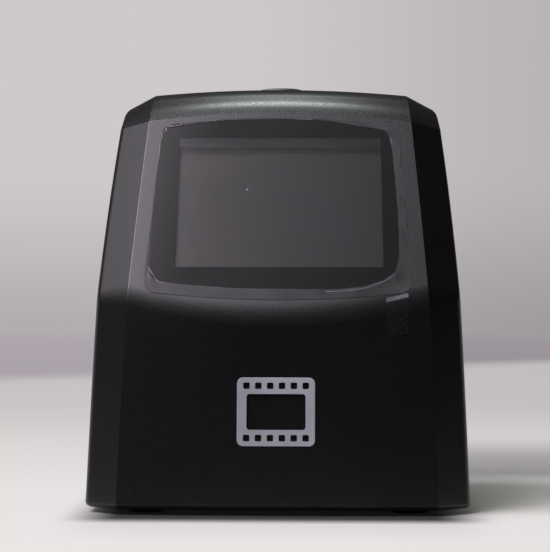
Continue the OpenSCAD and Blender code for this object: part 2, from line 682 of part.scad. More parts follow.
// ---- connector board ----
module io_board() {
    color("#14532d") difference() {
        translate([io_x[0], io_y[0], io_z]) cube([io_x[1] - io_x[0], io_y[1] - io_y[0], board_t]);
        for (p = io_post) rod(p[0], p[1], io_z - 1, screw_r + 0.2, board_t + 2);
    }
}
module io_board_screws() {
    color("silver") for (p = io_post) translate([p[0], p[1], io_top]) screw(4);
}
module usb_socket() {
    wall = 0.4;
    color("silver") difference() {
        translate([usb_x - usb[0] / 2, port_y - usb[1], io_top + touch]) cube(usb);
        translate([usb_x - usb[0] / 2 + wall, port_y - usb[1] + 1.6, io_top + touch + wall])
            cube([usb[0] - 2 * wall, usb[1], usb[2] - 2 * wall]);
    }
    color("black") translate([usb_x - 2.6, port_y - usb[1] + 1.5, io_top + 1.7]) cube([5.2, 4.6, 0.8]);
}
module av_jack() {
    color("#202124") difference() {
        union() {
            translate([av_x - av[0] / 2, port_y - nose_l - av[1], io_top + touch]) cube(av);
            translate([av_x, port_y - nose_l - touch, av_z + touch]) rotate([-90, 0, 0])
                cylinder(r = nose_r, h = nose_l + touch);
        }
        translate([av_x, port_y - av_bore_l, av_z + touch]) rotate([-90, 0, 0])
            cylinder(r = av_bore_r, h = av_bore_l + 1);
    }
}
module card_socket() {
    color("silver") difference() {
        translate([card_x - card[0] / 2, port_y - card[1], io_top + touch]) cube(card);
        translate([card_x - 12.1, port_y - card[1] + 2, io_top + touch + 0.4]) cube([24.2, card[1], 2.2]);
    }
}

// ---- ribbons between the boards ----
module sensor_cable() {
    color("#c9c4b6") ribbon([[axis_y + 10, holder_z1 + board_t + flex_t / 2 + touch],
        [axis_y + 15, holder_z1 + 2], [main_y - 8, plug_z + 1.6], [main_y - 4, plug_z + 1],
        [main_y - plug_t - 0.1, plug_z]], 10, flex_t, 0);
}
module button_cable() {
    y = main_y - 8;
    z = top_z - board_drop - board_t + y * tan(top_rise) - flex_t / 2 - touch;
    color("#c9c4b6") ribbon([[y, z - 0.05], [y + 3, z - 1.6], [y + 4.8, plug_z + 9], [y + 5.4, plug_z + 5],
        [main_y - plug_t - 0.35, plug_z + 0.4]], 10, flex_t, -16);
}
module io_cable() {
    y = max(main_y - 1.4, axis_y + rail_in + rail_t + 0.6);
    low = io_top + flex_t / 2 + touch;
    function up(t) = share(io_top, main_z[0], t);
    over = io_top + av[2] + 1;           // it passes over the ports
    color("#c9c4b6") ribbon([[io_y[0] + 1.6, low], [io_y[0] + 4, low + 0.1], [io_y[0] + 6, low + 3.5],
        [io_y[0] + 8.5, over], [y - 2.5, over + 0.5], [y, over + 3.3], [y, up(0.8)],
        [main_y - 0.9, main_z[0] - 1.5], [main_y - 0.35, main_z[0] + 4], [main_y - 0.25, main_z[0] + 8]],
        9, flex_t, 3);
}
module led_cable() {
    y = io_y[0];
    low = led_z - flex_t / 2 - 0.1;
    high = io_z - flex_t / 2 - 0.1;
    color("#c9c4b6") ribbon([[y - 5, low], [y + 0.6, low], [y + 1.6, low + 1.1], [y + 1.9, high - 1.1],
        [y + 3, high], [y + 5, high]], 3, flex_t, 8);
}

// ---- film channel, lit from below ----
rail_gap = 0.4;
rail_t = 1.6;
deck_l = 76;
deck_top = deck_z + deck_t;
rail_in = tray_w / 2 + rail_gap;
gate_z = tray_z + tray_t + 1.6;
gate_t = 1.8;
light_hole = [42, 29];
ledge = 0.8;
module chassis() {
    color("#202124") difference() {
        union() {
            slab(0, axis_y, deck_l, 2 * (rail_in + rail_t), deck_z, deck_t);
            for (s = [-1, 1])
                slab(0, axis_y + s * (rail_in + rail_t / 2), deck_l, rail_t, deck_z, gate_z - deck_z);
        }
        slab(0, axis_y, light_hole[0], light_hole[1], deck_z - 1, deck_t + 2);
        slab(0, axis_y, light[0] + 0.4, light[1] + 0.4, deck_z + ledge, deck_t);
        for (p = post) mirrored() {
            rod(p[0], p[1], deck_z - 1, screw_r + 0.2, deck_t + 2);
            rod(p[0], p[1], deck_top - head_t - 0.2, head_r + 0.2, deck_t);
        }
    }
}
module chassis_screws() {
    color("silver") for (p = post) mirrored()
        translate([p[0], p[1], deck_top - head_t - 0.15]) screw(6);
}
module light_glass() {
    color("white", 0.35) slab(0, axis_y, light[0], light[1], deck_z + ledge + touch, deck_t - ledge - 0.3);
}
diffuser_t = 1.2;
diffuser_z = deck_z - diffuser_t - touch;
module diffuser() { color("white") slab(0, axis_y, light[0], light[1], diffuser_z, diffuser_t); }
box_wall = 1.4;
box_z = led_z + board_t + touch;
module light_box() {
    color("whitesmoke") difference() {
        slab(0, axis_y, light[0], light[1], box_z, diffuser_z - box_z - touch);
        slab(0, axis_y, light[0] - 2 * box_wall, light[1] - 2 * box_wall, box_z - 1, deck_z);
    }
}
module led_board() {
    color("#e8e8e8") difference() {
        slab(0, axis_y, light[0] + 2.4, light[1] - 1.4, led_z, board_t);
        for (x = [-22.8, 22.8], y = [-10, 10]) rod(x, axis_y + y, led_z - 1, 0.8, board_t + 2);
    }
}
module backlight_leds() {
    color("lightyellow") for (x = [-13, 0, 13], y = [-9, 0, 9])
        slab(x, axis_y + y, 3.5, 2.8, led_z + board_t, 0.8);
}
module film_gate() {
    color("#202124") difference() {
        slab(0, axis_y, deck_l - 4, 2 * (rail_in + rail_t), gate_z + touch, gate_t);
        slab(0, axis_y, light_hole[0], light_hole[1], gate_z - 1, gate_t + 2);
    }
}
spring_t = 0.3;
spring_gap = 0.3;
module gate_springs() {
    high = gate_z - spring_t / 2;
    low = tray_z + tray_t + spring_gap + spring_t / 2;
    color("silver") for (s = [-1, 1])
        translate([0, axis_y + s * (rail_in - 5), 0]) rotate([0, 0, 90])
            ribbon([[-17, high], [-13, high], [-5, low], [5, low], [13, high], [17, high]],
                4, spring_t, 0);
}

// ---- camera above the film ----
shroud_z0 = gate_z + gate_t + 2 * touch;
shroud_flange = 1.5;
shroud_top_t = 1.5;
shroud_wall = 1.5;
holder_z1 = brow_z - 18.55;     // the camera hangs at the height of the main board's plugs
holder_z0 = holder_z1 - 15.6;
holder = [25, 20];
cell_r = 6;
module frustum(w0, d0, z0, w1, d1, z1) {
    hull() {
        slab(0, axis_y, w0, d0, z0, 0.01);
        slab(0, axis_y, w1, d1, z1 - 0.01, 0.01);
    }
}
module light_shroud() {
    z0 = shroud_z0 + shroud_flange - touch;
    z1 = holder_z0 - shroud_top_t;
    w = light_hole[0] + 2;
    d = light_hole[1] + 2;
    color("#101011") difference() {
        union() {
            slab(0, axis_y, light[0] + 6, light[1] + 6, shroud_z0, shroud_flange);
            frustum(w, d, z0, holder[0], holder[1], z1);
            slab(0, axis_y, holder[0], holder[1], z1 - touch, shroud_top_t);
        }
        frustum(w - 2 * shroud_wall, d - 2 * shroud_wall, shroud_z0 - 1,
            holder[0] - 2 * shroud_wall, holder[1] - 2 * shroud_wall, z1);
        rod(0, axis_y, z1 - 1, cell_r + 1.2, shroud_top_t + 3);
        mirrored() rod(sensor_screw_x, axis_y, z1 - 1, pilot_r, shroud_top_t + 3);
    }
}
sensor_screw_x = 10.4;
thread_z1 = holder_z0 + 8.6;
ledge_z = thread_z1 + 2.6;
module lens_holder() {
    color("#161617") difference() {
        slab(0, axis_y, holder[0], holder[1], holder_z0 - 2 * touch + 0.12, holder_z1 - holder_z0 - 0.12);
        rod(0, axis_y, holder_z0 - 1, cell_r, thread_z1 - holder_z0 + 1);
        rod(0, axis_y, holder_z0 - 1, 3.6, holder_z1 - holder_z0);
        slab(0, axis_y, 12, 12, ledge_z, 20);
        mirrored() rod(sensor_screw_x, axis_y, holder_z0 - 1, screw_r + 0.1, 30);
    }
}
module lens_barrel() {
    color("#111112") difference() {
        union() {
            rod(0, axis_y, holder_z0 - 3, cell_r + 0.9, 2.4);
            rod(0, axis_y, holder_z0 - 0.7, cell_r - 0.05, thread_z1 - holder_z0 + 0.5);
        }
        rod(0, axis_y, holder_z0 - 4, 4, 3);
        rod(0, axis_y, holder_z0 - 2, 2.2, 30);
        rod(0, axis_y, thread_z1 - 2.4, 3.2, 4);
    }
}
module lens_elements() {
    color("lightblue", 0.4) {
        translate([0, axis_y, holder_z0 - 2.2]) intersection() {
            cylinder(r = 3.9, h = 1.1);
            translate([0, 0, 7.2]) sphere(r = 7.9);
        }
        rod(0, axis_y, thread_z1 - 2.3, 3.1, 1.2);
    }
}
module ir_filter() { color("lightcyan", 0.5) slab(0, axis_y, 10, 10, ledge_z + touch, 0.5); }
module image_sensor() { color("#2a2f3a") slab(0, axis_y, 9, 9, holder_z1 - 1.3, 1.25); }
module sensor_board() {
    color("#14532d") difference() {
        slab(0, axis_y, holder[0] + 1, holder[1] + 2, holder_z1 + touch / 2, board_t);
        mirrored() rod(sensor_screw_x, axis_y, holder_z1 - 1, screw_r + 0.1, board_t + 2);
    }
}
module sensor_screws() {
    color("silver") mirrored()
        translate([sensor_screw_x, axis_y, holder_z1 + board_t + touch])
            screw(holder_z1 - holder_z0 + board_t + 1);
}

// ---- film tray ----
tray_split = tray_z + tray_t / 2;
channel = 0.4;           // depth of the film channel in each half
pin_r = 1.3;
pin_spots = [[37, 22], [12, 24.4]];
notch_r = 1.2;
module tray_window(z, h) {
    slab(0, axis_y, frame_l, frame_w, z, h);
}
module tray_half(z, up) {
    h = tray_t / 2 - touch / 2;
    difference() {
        slab(0, axis_y, tray_l, tray_w, z, h);
        slab(0, axis_y, tray_l + 2, film_w, up ? z + h - channel : z - 1, channel + 1);
        tray_window(z - 1, h + 2);
        for (s = [-1, 1], q = [-1, 1]) {
            slab(s * (frame_l / 2 + 11.5), axis_y + q * 7, 14, 10, up ? z - 1 : z + 1.4, h - 0.4);
            rod(s * tray_l * 0.42, axis_y + q * tray_w / 2, z - 1, notch_r, h + 2);
        }
        for (p = pin_spots, sx = [-1, 1], sy = [-1, 1])
            rod(sx * p[0], axis_y + sy * p[1], z - 1, pin_r, h + 2);
    }
}
module tray_base() { color("#222326") tray_half(tray_z, true); }
module tray_cover() {
    color("#2a2b2f") {
        tray_half(tray_split + touch / 2, false);
        for (s = [-1, 1], i = [0:3])
            slab(s * (tray_l / 2 - 1.6 - 1.8 * i), axis_y, 0.8, 20, tray_z + tray_t - touch, 0.3);
    }
}
module tray_pins() {
    color("#3a3b3f") for (p = pin_spots, sx = [-1, 1], sy = [-1, 1])
        rod(sx * p[0], axis_y + sy * p[1], tray_z + 0.4, pin_r - 0.03, tray_t - 0.8);
}

main_housing();
rear_cover();
base_plate();
rubber_feet();
base_screws();
screen_lens();
lens_mask();
screen_film();
screen_gasket();
lcd_glass();
lcd_backlight();
lcd_bracket();
lcd_screws();
lcd_flex();
front_badge();
button_board();
button_board_screws();
button_switches();
status_led();
main_board();
main_board_parts();
main_board_screws();
io_board();
io_board_screws();
usb_socket();
av_jack();
card_socket();
sensor_cable();
button_cable();
io_cable();
led_cable();
chassis();
chassis_screws();
film_gate();
gate_springs();
light_glass();
diffuser();
light_box();
led_board();
backlight_leds();
light_shroud();
lens_barrel();
lens_elements();
lens_holder();
ir_filter();
image_sensor();
sensor_board();
sensor_screws();
tray_base();
tray_cover();
tray_pins();
capture_button();
home_button();
flip_button();
minus_button();
plus_button();
power_button();
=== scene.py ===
"""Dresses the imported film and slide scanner: shells, screen, buttons, tray, ports, boards and the studio."""
import logging
import math
from collections.abc import Callable, Iterator, Sequence
from contextlib import contextmanager
from dataclasses import dataclass
from enum import Enum
from functools import partial

import bmesh
import bpy
from mathutils import Matrix, Vector
from mathutils.geometry import delaunay_2d_cdt


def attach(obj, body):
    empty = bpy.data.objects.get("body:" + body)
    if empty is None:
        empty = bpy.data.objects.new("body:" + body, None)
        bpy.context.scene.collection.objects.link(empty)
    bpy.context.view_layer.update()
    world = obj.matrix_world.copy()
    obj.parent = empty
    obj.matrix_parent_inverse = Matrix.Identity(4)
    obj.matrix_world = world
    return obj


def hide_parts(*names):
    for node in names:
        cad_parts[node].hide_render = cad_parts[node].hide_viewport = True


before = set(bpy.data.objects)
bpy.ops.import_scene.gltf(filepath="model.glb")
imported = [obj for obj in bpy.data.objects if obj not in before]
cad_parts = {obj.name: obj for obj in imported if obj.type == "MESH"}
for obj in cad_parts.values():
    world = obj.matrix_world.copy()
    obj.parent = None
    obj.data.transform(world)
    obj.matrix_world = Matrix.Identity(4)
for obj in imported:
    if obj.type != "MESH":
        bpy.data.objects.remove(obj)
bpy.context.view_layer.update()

MM = 0.001
LOG = logging.getLogger("film_scanner")

Point = tuple[float, float, float]
Flat = tuple[float, float]
Colour = tuple[float, float, float]
Place = Callable[[float, float, float], Point]
Socket = bpy.types.NodeSocket
Object = bpy.types.Object


class Body(Enum):
    """The bodies that pieces ride on."""

    HOUSING = "housing"
    TRAY = "film_tray"
    CAPTURE = "capture_key"
    HOME = "home_key"
    FLIP = "flip_key"
    MINUS = "minus_key"
    PLUS = "plus_key"
    POWER = "power_key"


class Symbol(Enum):
    """Generic marks that a key can carry."""

    NONE = "none"
    HOUSE = "house"
    TURN = "turn"
    MINUS = "minus"
    PLUS = "plus"
    POWER = "power"


# ---------------------------------------------------------------- node trees
class Nodes:
    """A node tree that is filled in script."""

    def __init__(self, tree: bpy.types.NodeTree, prefix: str = "ShaderNode") -> None:
        """Empties the tree.

        Args:
            tree: Tree to fill.
            prefix: Start of the type of each of its nodes.
        """
        tree.nodes.clear()
        self.tree = tree
        self.prefix = prefix

    def feed(self, socket: Socket, value: object) -> None:
        """Links an output socket to a socket, or sets a constant on it.

        Args:
            socket: Input to fill.
            value: An output socket, a number or a colour.
        """
        if isinstance(value, Socket):
            self.tree.links.new(value, socket)
        elif isinstance(value, tuple) and socket.type == "RGBA":
            socket.default_value = (*value[:3], 1)
        else:
            socket.default_value = value

    def add(self, kind: str, values: dict[object, object] | None = None, out: object = 0,
            **settings: object) -> Socket:
        """Adds a node.

        Args:
            kind: Node type, without its prefix.
            values: Inputs by name or number.
            out: Name or number of the output that is wanted.
            **settings: Properties of the node.

        Returns:
            The wanted output socket.
        """
        node = self.tree.nodes.new(self.prefix + kind)
        for key, value in settings.items():
            setattr(node, key, value)
        for key, value in (values or {}).items():
            self.feed(node.inputs[key], value)
        return node.outputs[out]

    def math(self, operation: str, a: object, b: object = 0.0) -> Socket:
        """Returns the result of one operation on a and b."""
        return self.add("Math", {0: a, 1: b}, operation=operation)

    def ramp(self, value: object, low: float, high: float, a: float = 0.0, b: float = 1.0) -> Socket:
        """Returns value moved smoothly from the range low..high to a..b."""
        return self.add("MapRange",
                        {"Value": value, "From Min": low, "From Max": high, "To Min": a, "To Max": b},
                        interpolation_type="SMOOTHSTEP")


class Tree(Nodes):
    """One material round a Principled shader, reading Object coordinates."""

    def __init__(self, name: str) -> None:
        """Starts the material.

        Args:
            name: Name of the material.
        """
        self.material = bpy.data.materials.new(name)
        self.material.use_nodes = True
        super().__init__(self.material.node_tree)
        self.shader = self.tree.nodes.new("ShaderNodeBsdfPrincipled")
        output = self.tree.nodes.new("ShaderNodeOutputMaterial")
        self.feed(output.inputs["Surface"], self.shader.outputs[0])
        self.place = self.add("TexCoord", out="Object")

    def set(self, **values: object) -> None:
        """Fills the shader's sockets, named with underscores for spaces."""
        for key, value in values.items():
            self.feed(self.shader.inputs[key.replace("_", " ")], value)

    def noise(self, scale: float, detail: float = 3, rough: float = 0.5, place: object = None) -> Socket:
        """Returns a noise value; scale is in cells per metre."""
        return self.add("TexNoise", {"Vector": place or self.place, "Scale": scale, "Detail": detail,
                                     "Roughness": rough}, "Fac")

    def cells(self, scale: float, **settings: object) -> Socket:
        """Returns the distance of a Voronoi pattern; scale is in cells per metre."""
        return self.add("TexVoronoi", {"Vector": self.place, "Scale": scale}, "Distance", **settings)

    def mix(self, share: object, a: object, b: object) -> Socket:
        """Returns colour a mixed towards colour b."""
        return self.add("Mix", {0: share, 6: a, 7: b}, 2, data_type="RGBA")

    def axis(self, name: str) -> Socket:
        """Returns one Object coordinate, "X", "Y" or "Z"."""
        return self.add("SeparateXYZ", {0: self.place}, name)

    def bump(self, height: object, distance: float, strength: float = 1.0) -> Socket:
        """Returns a bumped normal; distance is in metres."""
        return self.add("Bump", {"Height": height, "Distance": distance, "Strength": strength})


class Recipe(Nodes):
    """A Geometry Nodes tree with named inputs, which is run once on a mesh."""

    def __init__(self, name: str, inputs: dict[str, tuple[str, object]]) -> None:
        """Makes the tree and its inputs.

        Args:
            name: Name of the tree.
            inputs: Kind and value of each input; one is the material, "Finish".
        """
        group = bpy.data.node_groups.new(name, "GeometryNodeTree")
        super().__init__(group, "GeometryNode")
        kinds = {"Geometry": "Geometry", **{key: kind for key, (kind, _) in inputs.items()}}
        sockets = {key: group.interface.new_socket(key, in_out="INPUT", socket_type="NodeSocket" + kind)
                   for key, kind in kinds.items()}
        group.interface.new_socket("Geometry", in_out="OUTPUT", socket_type="NodeSocketGeometry")
        self.values = {sockets[key].identifier: value for key, (_, value) in inputs.items()}
        self.given = group.nodes.new("NodeGroupInput").outputs

    def run(self, obj: Object, shape: Socket) -> Object:
        """Ends the tree, runs it on an object and keeps the plain result.

        Args:
            obj: Object to run on.
            shape: Output with the finished shape.

        Returns:
            The object, without a modifier.
        """
        real = self.add("RealizeInstances", {"Geometry": shape})
        dressed = self.add("SetMaterial", {"Geometry": real, "Material": self.given["Finish"]})
        self.feed(self.tree.nodes.new("NodeGroupOutput").inputs["Geometry"], dressed)
        modifier = obj.modifiers.new("recipe", "NODES")
        modifier.node_group = self.tree
        for key, value in self.values.items():
            modifier[key] = value
        return settle(obj)


# ---------------------------------------------------------------- finishes
def tinted(colour: Colour, factor: float, rise: float = 0.0) -> Colour:
    """Returns a colour times a factor, plus a rise."""
    return tuple(min(1.0, c * factor + rise) for c in colour)


@dataclass(frozen=True)
class Finish:
    """A surface finish; made once and shared."""

    name: str

    def material(self) -> bpy.types.Material:
        """Returns the finish's material, making it on first use.

        Returns:
            The material.
        """
        found = bpy.data.materials.get(self.name)
        if found:
            return found
        tree = Tree(self.name)
        self.build(tree)
        return tree.material

    def build(self, tree: Tree) -> None:
        """Fills the tree with this finish."""
        raise NotImplementedError


@dataclass(frozen=True)
class SparkPlastic(Finish):
    """Moulded plastic with a spark-eroded grain."""

    colour: Colour = (0.0014, 0.0014, 0.0017)
    roughness: float = 0.325
    grain: float = 0.00034
    depth: float = 0.000008
    low_share: float = 0.45
    full_z: Flat = (0.086, 0.0945)
    full_share: float = 1.25

    def build(self, tree: Tree) -> None:
        """Fills the tree with the grain.

        Args:
            tree: Tree of the new material.
        """
        fine = tree.noise(1 / self.grain, 2, 0.6)
        pits = tree.noise(2.1 / self.grain, 1, 0.5)
        broad = tree.noise(60, 3)
        sparks = tree.noise(0.95 / self.grain, 1, 0.5)
        part = tree.ramp(tree.axis("Z"), *self.full_z, self.low_share, self.full_share)
        height = tree.math("MULTIPLY", tree.math("ADD", fine, tree.math("MULTIPLY", pits, 0.3)), part)
        sparks = tree.math("ADD", tree.math("MULTIPLY", tree.math("SUBTRACT", sparks, 0.5), part), 0.5)
        tone = tree.math("ADD", tree.math("MULTIPLY", fine, 0.7), tree.math("MULTIPLY", broad, 0.3))
        tree.set(
            Base_Color=tree.mix(tree.ramp(tone, 0.4, 0.66), self.colour, tinted(self.colour, 1.6, 0.001)),
            Roughness=tree.ramp(sparks, 0.3, 0.7, self.roughness + 0.025, self.roughness - 0.07),
            Specular_IOR_Level=0.48,
            Normal=tree.bump(height, self.depth, 0.8),
        )


@dataclass(frozen=True)
class SatinPlastic(Finish):
    """Smooth moulded plastic with faint flow marks."""

    colour: Colour = (0.02, 0.02, 0.021)
    roughness: float = 0.42
    clear: float = 1.0

    def build(self, tree: Tree) -> None:
        """Fills the tree with flow marks and a fine texture.

        Args:
            tree: Tree of the new material.
        """
        flow = tree.noise(45, 4, 0.6)
        fine = tree.noise(2200, 2)
        tree.set(
            Base_Color=tree.mix(tree.ramp(flow, 0.35, 0.65), self.colour, tinted(self.colour, 1.25, 0.002)),
            Roughness=tree.ramp(fine, 0.3, 0.7, self.roughness - 0.05, self.roughness + 0.06),
            Normal=tree.bump(fine, 0.000012, 0.6),
            Alpha=self.clear,
        )


@dataclass(frozen=True)
class Rubber(Finish):
    """Dark rubber or foam."""

    colour: Colour = (0.014, 0.014, 0.015)
    grain: float = 0.0006

    def build(self, tree: Tree) -> None:
        """Fills the tree with a soft, open texture.

        Args:
            tree: Tree of the new material.
        """
        pores = tree.cells(1 / self.grain)
        dust = tree.noise(300, 4, 0.7)
        tree.set(
            Base_Color=tree.mix(tree.ramp(dust, 0.5, 0.75), self.colour, tinted(self.colour, 1.9)),
            Roughness=tree.ramp(dust, 0.3, 0.7, 0.72, 0.9),
            Normal=tree.bump(pores, 0.00006, 0.5),
        )


@dataclass(frozen=True)
class PlatedMetal(Finish):
    """Plated sheet steel or brass with a drawn grain."""

    colour: Colour = (0.62, 0.62, 0.63)
    roughness: float = 0.3

    def build(self, tree: Tree) -> None:
        """Fills the tree with a drawn grain and faint stains.

        Args:
            tree: Tree of the new material.
        """
        stretched = tree.add("Mapping", {"Vector": tree.place, "Scale": (300.0, 5200.0, 5200.0)})
        drawn = tree.noise(1, 2, 0.5, stretched)
        stain = tree.noise(140, 4, 0.6)
        tree.set(
            Base_Color=tree.mix(tree.ramp(stain, 0.42, 0.7), self.colour, tinted(self.colour, 0.72)),
            Metallic=1.0,
            Roughness=tree.ramp(drawn, 0.3, 0.7, self.roughness - 0.06, self.roughness + 0.1),
            Normal=tree.bump(drawn, 0.000008, 0.5),
        )


@dataclass(frozen=True)
class CircuitBoard(Finish):
    """Solder mask over copper tracks."""

    colour: Colour = (0.012, 0.085, 0.035)
    track: Colour = (0.03, 0.17, 0.07)

    def build(self, tree: Tree) -> None:
        """Fills the tree with tracks and via pads.

        Args:
            tree: Tree of the new material.
        """
        blocks = tree.cells(260, distance="MANHATTAN")
        tracks = tree.ramp(tree.math("PINGPONG", blocks, 0.12), 0.05, 0.07)
        vias = tree.ramp(tree.cells(420), 0.1, 0.14, 1.0, 0.0)
        base = tree.mix(tracks, self.colour, self.track)
        tree.set(
            Base_Color=tree.mix(vias, base, (0.5, 0.42, 0.22)),
            Roughness=0.32,
            Normal=tree.bump(tree.math("ADD", tracks, vias), 0.00003, 0.5),
            Coat_Weight=0.3,
            Coat_Roughness=0.15,
        )


@dataclass(frozen=True)
class Gloss(Finish):
    """Polished plastic, ink or glass that is seen as a clear or solid coat."""

    colour: Colour = (0.004, 0.004, 0.005)
    roughness: float = 0.05
    ior: float = 1.5
    clear: float = 1.0

    def cover(self, tree: Tree) -> object:
        """Returns how much the coat covers, as a number or a socket of the tree."""
        return self.clear

    def build(self, tree: Tree) -> None:
        """Fills the tree with polish and faint smears.

        Args:
            tree: Tree of the new material.
        """
        smear = tree.noise(70, 5, 0.65)
        tree.set(
            Base_Color=tree.mix(tree.ramp(smear, 0.45, 0.7), self.colour, tinted(self.colour, 1.12)),
            Roughness=tree.ramp(smear, 0.4, 0.75, self.roughness, self.roughness + 0.05),
            IOR=self.ior,
            Alpha=self.cover(tree),
        )


@dataclass(frozen=True)
class PaneWindow(Gloss):
    """Clear pane over the display, denser above the picture, where it lays a flat dark band across the top of
    the display.
    """

    border: float = 0.68
    border_z: float = 0.0877
    fade: float = 0.0001

    def cover(self, tree: Tree) -> object:
        """Returns how much the pane covers: more above the picture."""
        return tree.ramp(tree.axis("Z"), self.border_z - self.fade, self.border_z + self.fade, self.clear,
                         self.border)


@dataclass(frozen=True)
class Polariser(Finish):
    """Dark, slightly cool polarising sheet on the display, with a painted sheen that makes its left side
    warmer and lighter.
    """

    colour: Colour = (0.007, 0.0068, 0.0076)

    def build(self, tree: Tree) -> None:
        """Fills the tree with the sheet's tint and its painted sheen.

        Args:
            tree: Tree of the new material.
        """
        across = tree.math("ADD", tree.axis("X"), tree.math("MULTIPLY", tree.noise(25, 2), 0.02))
        # painted sheen: the left side is warmer and about four times lighter than the right
        painted_sheen = tuple(c * k for c, k in zip(self.colour, (4.6, 3.9, 3.7)))
        tree.set(
            Base_Color=tree.mix(tree.ramp(across, -0.018, 0.012), painted_sheen, self.colour),
            Roughness=tree.ramp(tree.noise(900, 2), 0.3, 0.7, 0.29, 0.33),
            IOR=1.72,
        )


@dataclass(frozen=True)
class Ribbon(Finish):
    """Flat cable with conductors side by side along X."""

    colour: Colour = (0.55, 0.53, 0.47)
    line: Colour = (0.3, 0.28, 0.24)
    pitch: float = 0.001

    def build(self, tree: Tree) -> None:
        """Fills the tree with the conductors' lines.

        Args:
            tree: Tree of the new material.
        """
        wave = tree.math("PINGPONG", tree.axis("X"), self.pitch / 2)
        lines = tree.ramp(wave, self.pitch * 0.12, self.pitch * 0.2)
        tree.set(
            Base_Color=tree.mix(lines, self.line, self.colour),
            Roughness=tree.ramp(tree.noise(500, 2), 0.3, 0.7, 0.28, 0.4),
            Normal=tree.bump(lines, 0.00004, 0.5),
        )


@dataclass(frozen=True)
class ProtectiveFilm(Finish):
    """Clear film stuck over the screen: hazy where it has lifted."""

    haze: float = 0.1
    colour: Colour = (0.5, 0.48, 0.52)
    roughness: float = 0.2

    def build(self, tree: Tree) -> None:
        """Fills the tree with haze and fine pulls.

        Args:
            tree: Tree of the new material.
        """
        pulls = tree.noise(90, 4, 0.6)
        tree.set(
            Base_Color=self.colour,
            Roughness=tree.ramp(pulls, 0.35, 0.7, self.roughness, self.roughness + 0.12),
            Alpha=tree.ramp(pulls, 0.3, 0.75, self.haze * 0.8, self.haze * 1.3),
            Normal=tree.bump(tree.noise(160, 3, 0.5), 0.00001, 0.4),
        )


GRAIN = SparkPlastic("spark_grain_black")
BASE = SatinPlastic("satin_base_black", (0.02, 0.02, 0.022), 0.5)
INNER = SatinPlastic("satin_inner_black", (0.012, 0.012, 0.013), 0.55)
TRAY = SatinPlastic("satin_tray_black", (0.024, 0.024, 0.026), 0.38)
PIN = SatinPlastic("satin_pin_grey", (0.05, 0.05, 0.052), 0.4)
KEY = SatinPlastic("satin_key_black", (0.018, 0.018, 0.019), 0.36)
FOOT = Rubber("foot_rubber")
FOAM = Rubber("gasket_foam", (0.02, 0.02, 0.02), 0.0004)
ZINC = PlatedMetal("zinc_plate", (0.52, 0.53, 0.55), 0.36)
NICKEL = PlatedMetal("nickel_plate")
GOLD = PlatedMetal("gold_contact", (0.75, 0.56, 0.23), 0.26)
BOARD = CircuitBoard("solder_mask_green")
PANE_RING = Gloss("pane_ring_black", (0.001, 0.001, 0.0012), 0.05, 1.4)
PANE_CLEAR = PaneWindow("pane_clear", (0.004, 0.004, 0.0045), 0.03, 1.75, 0.35)
INK = Gloss("mask_ink", (0.004, 0.004, 0.004), 0.3)
# display glass: a paler grey than the glass has, painted light that lifts the band at the top of the display
# out of its shade
DISPLAY_LIGHTENED = Gloss("display_glass", (0.05, 0.049, 0.054), 0.12)
SHEET = Polariser("polariser_sheet")
FILM = ProtectiveFilm("film_stuck", 0.006, (0.2, 0.2, 0.2))
FILM_EDGE = ProtectiveFilm("film_lifted", 0.42, (0.012, 0.0115, 0.0125), 0.32)
FILM_LOOSE = ProtectiveFilm("film_loose", 0.03, (0.05, 0.05, 0.05), 0.12)
# film ridges: pale grey, a painted highlight along the film's curled edges
FILM_RIDGE_GLINT = ProtectiveFilm("film_ridge_painted_glint", 0.75, (0.34, 0.33, 0.35), 0.24)
SPECK = Gloss("dust_speck", (0.5, 0.5, 0.53), 0.4)
# film fold: a pale coat, a painted highlight on the pull tab's fold
FILM_TAB_GLINT = ProtectiveFilm("film_fold", 0.032, (0.8, 0.8, 0.84), 0.2)
BADGE = SatinPlastic("badge_grey", (0.23, 0.235, 0.26), 0.34)
WHITE = SatinPlastic("white_reflector", (0.78, 0.78, 0.77), 0.45)
DIFFUSER = SatinPlastic("diffuser_white", (0.84, 0.84, 0.82), 0.6)
LED_BOARD = SatinPlastic("led_board_white", (0.7, 0.7, 0.68), 0.3)
LED = Gloss("led_lens", (0.75, 0.7, 0.4), 0.12)
LAMP = Gloss("lamp_clear", (0.6, 0.63, 0.66), 0.1, 1.5, 0.6)
OPTIC = Gloss("optic_glass", (0.05, 0.07, 0.09), 0.03, 1.6, 0.45)
CHIP = SatinPlastic("chip_epoxy", (0.02, 0.02, 0.022), 0.5)
CABLE = Ribbon("ribbon_grey")
FLEX = Ribbon("flex_amber", (0.36, 0.17, 0.035), (0.24, 0.1, 0.02), 0.0006)
CAPTURE = Gloss("capture_black", (0.02, 0.021, 0.021), 0.22)
CAPTURE_RIM = PlatedMetal("capture_rim", (0.1, 0.115, 0.097), 0.66)
MARK = SatinPlastic("mark_grey", (0.4, 0.4, 0.41), 0.5)


# ---------------------------------------------------------------- flat geometry
def share(a: float, b: float, t: float) -> float:
    """Returns the value a share t of the way from a to b."""
    return a + (b - a) * t


def between(p: Flat, q: Flat, t: float) -> Flat:
    """Returns the point a share t of the way from p to q."""
    return (share(p[0], q[0], t), share(p[1], q[1], t))


def tan_of(angle: float) -> float:
    """Returns the tangent of an angle in degrees."""
    return math.tan(math.radians(angle))


def dir_at(angle: float) -> Flat:
    """Returns the unit vector at an angle in degrees from upright."""
    return (math.sin(math.radians(angle)), math.cos(math.radians(angle)))


def inward_at(angle: float) -> Flat:
    """Returns the unit vector that points into the body from a face at an angle."""
    return (math.cos(math.radians(angle)), -math.sin(math.radians(angle)))


def along(p: Flat, v: Flat, t: float) -> Flat:
    """Returns p moved by t times v."""
    return (p[0] + v[0] * t, p[1] + v[1] * t)


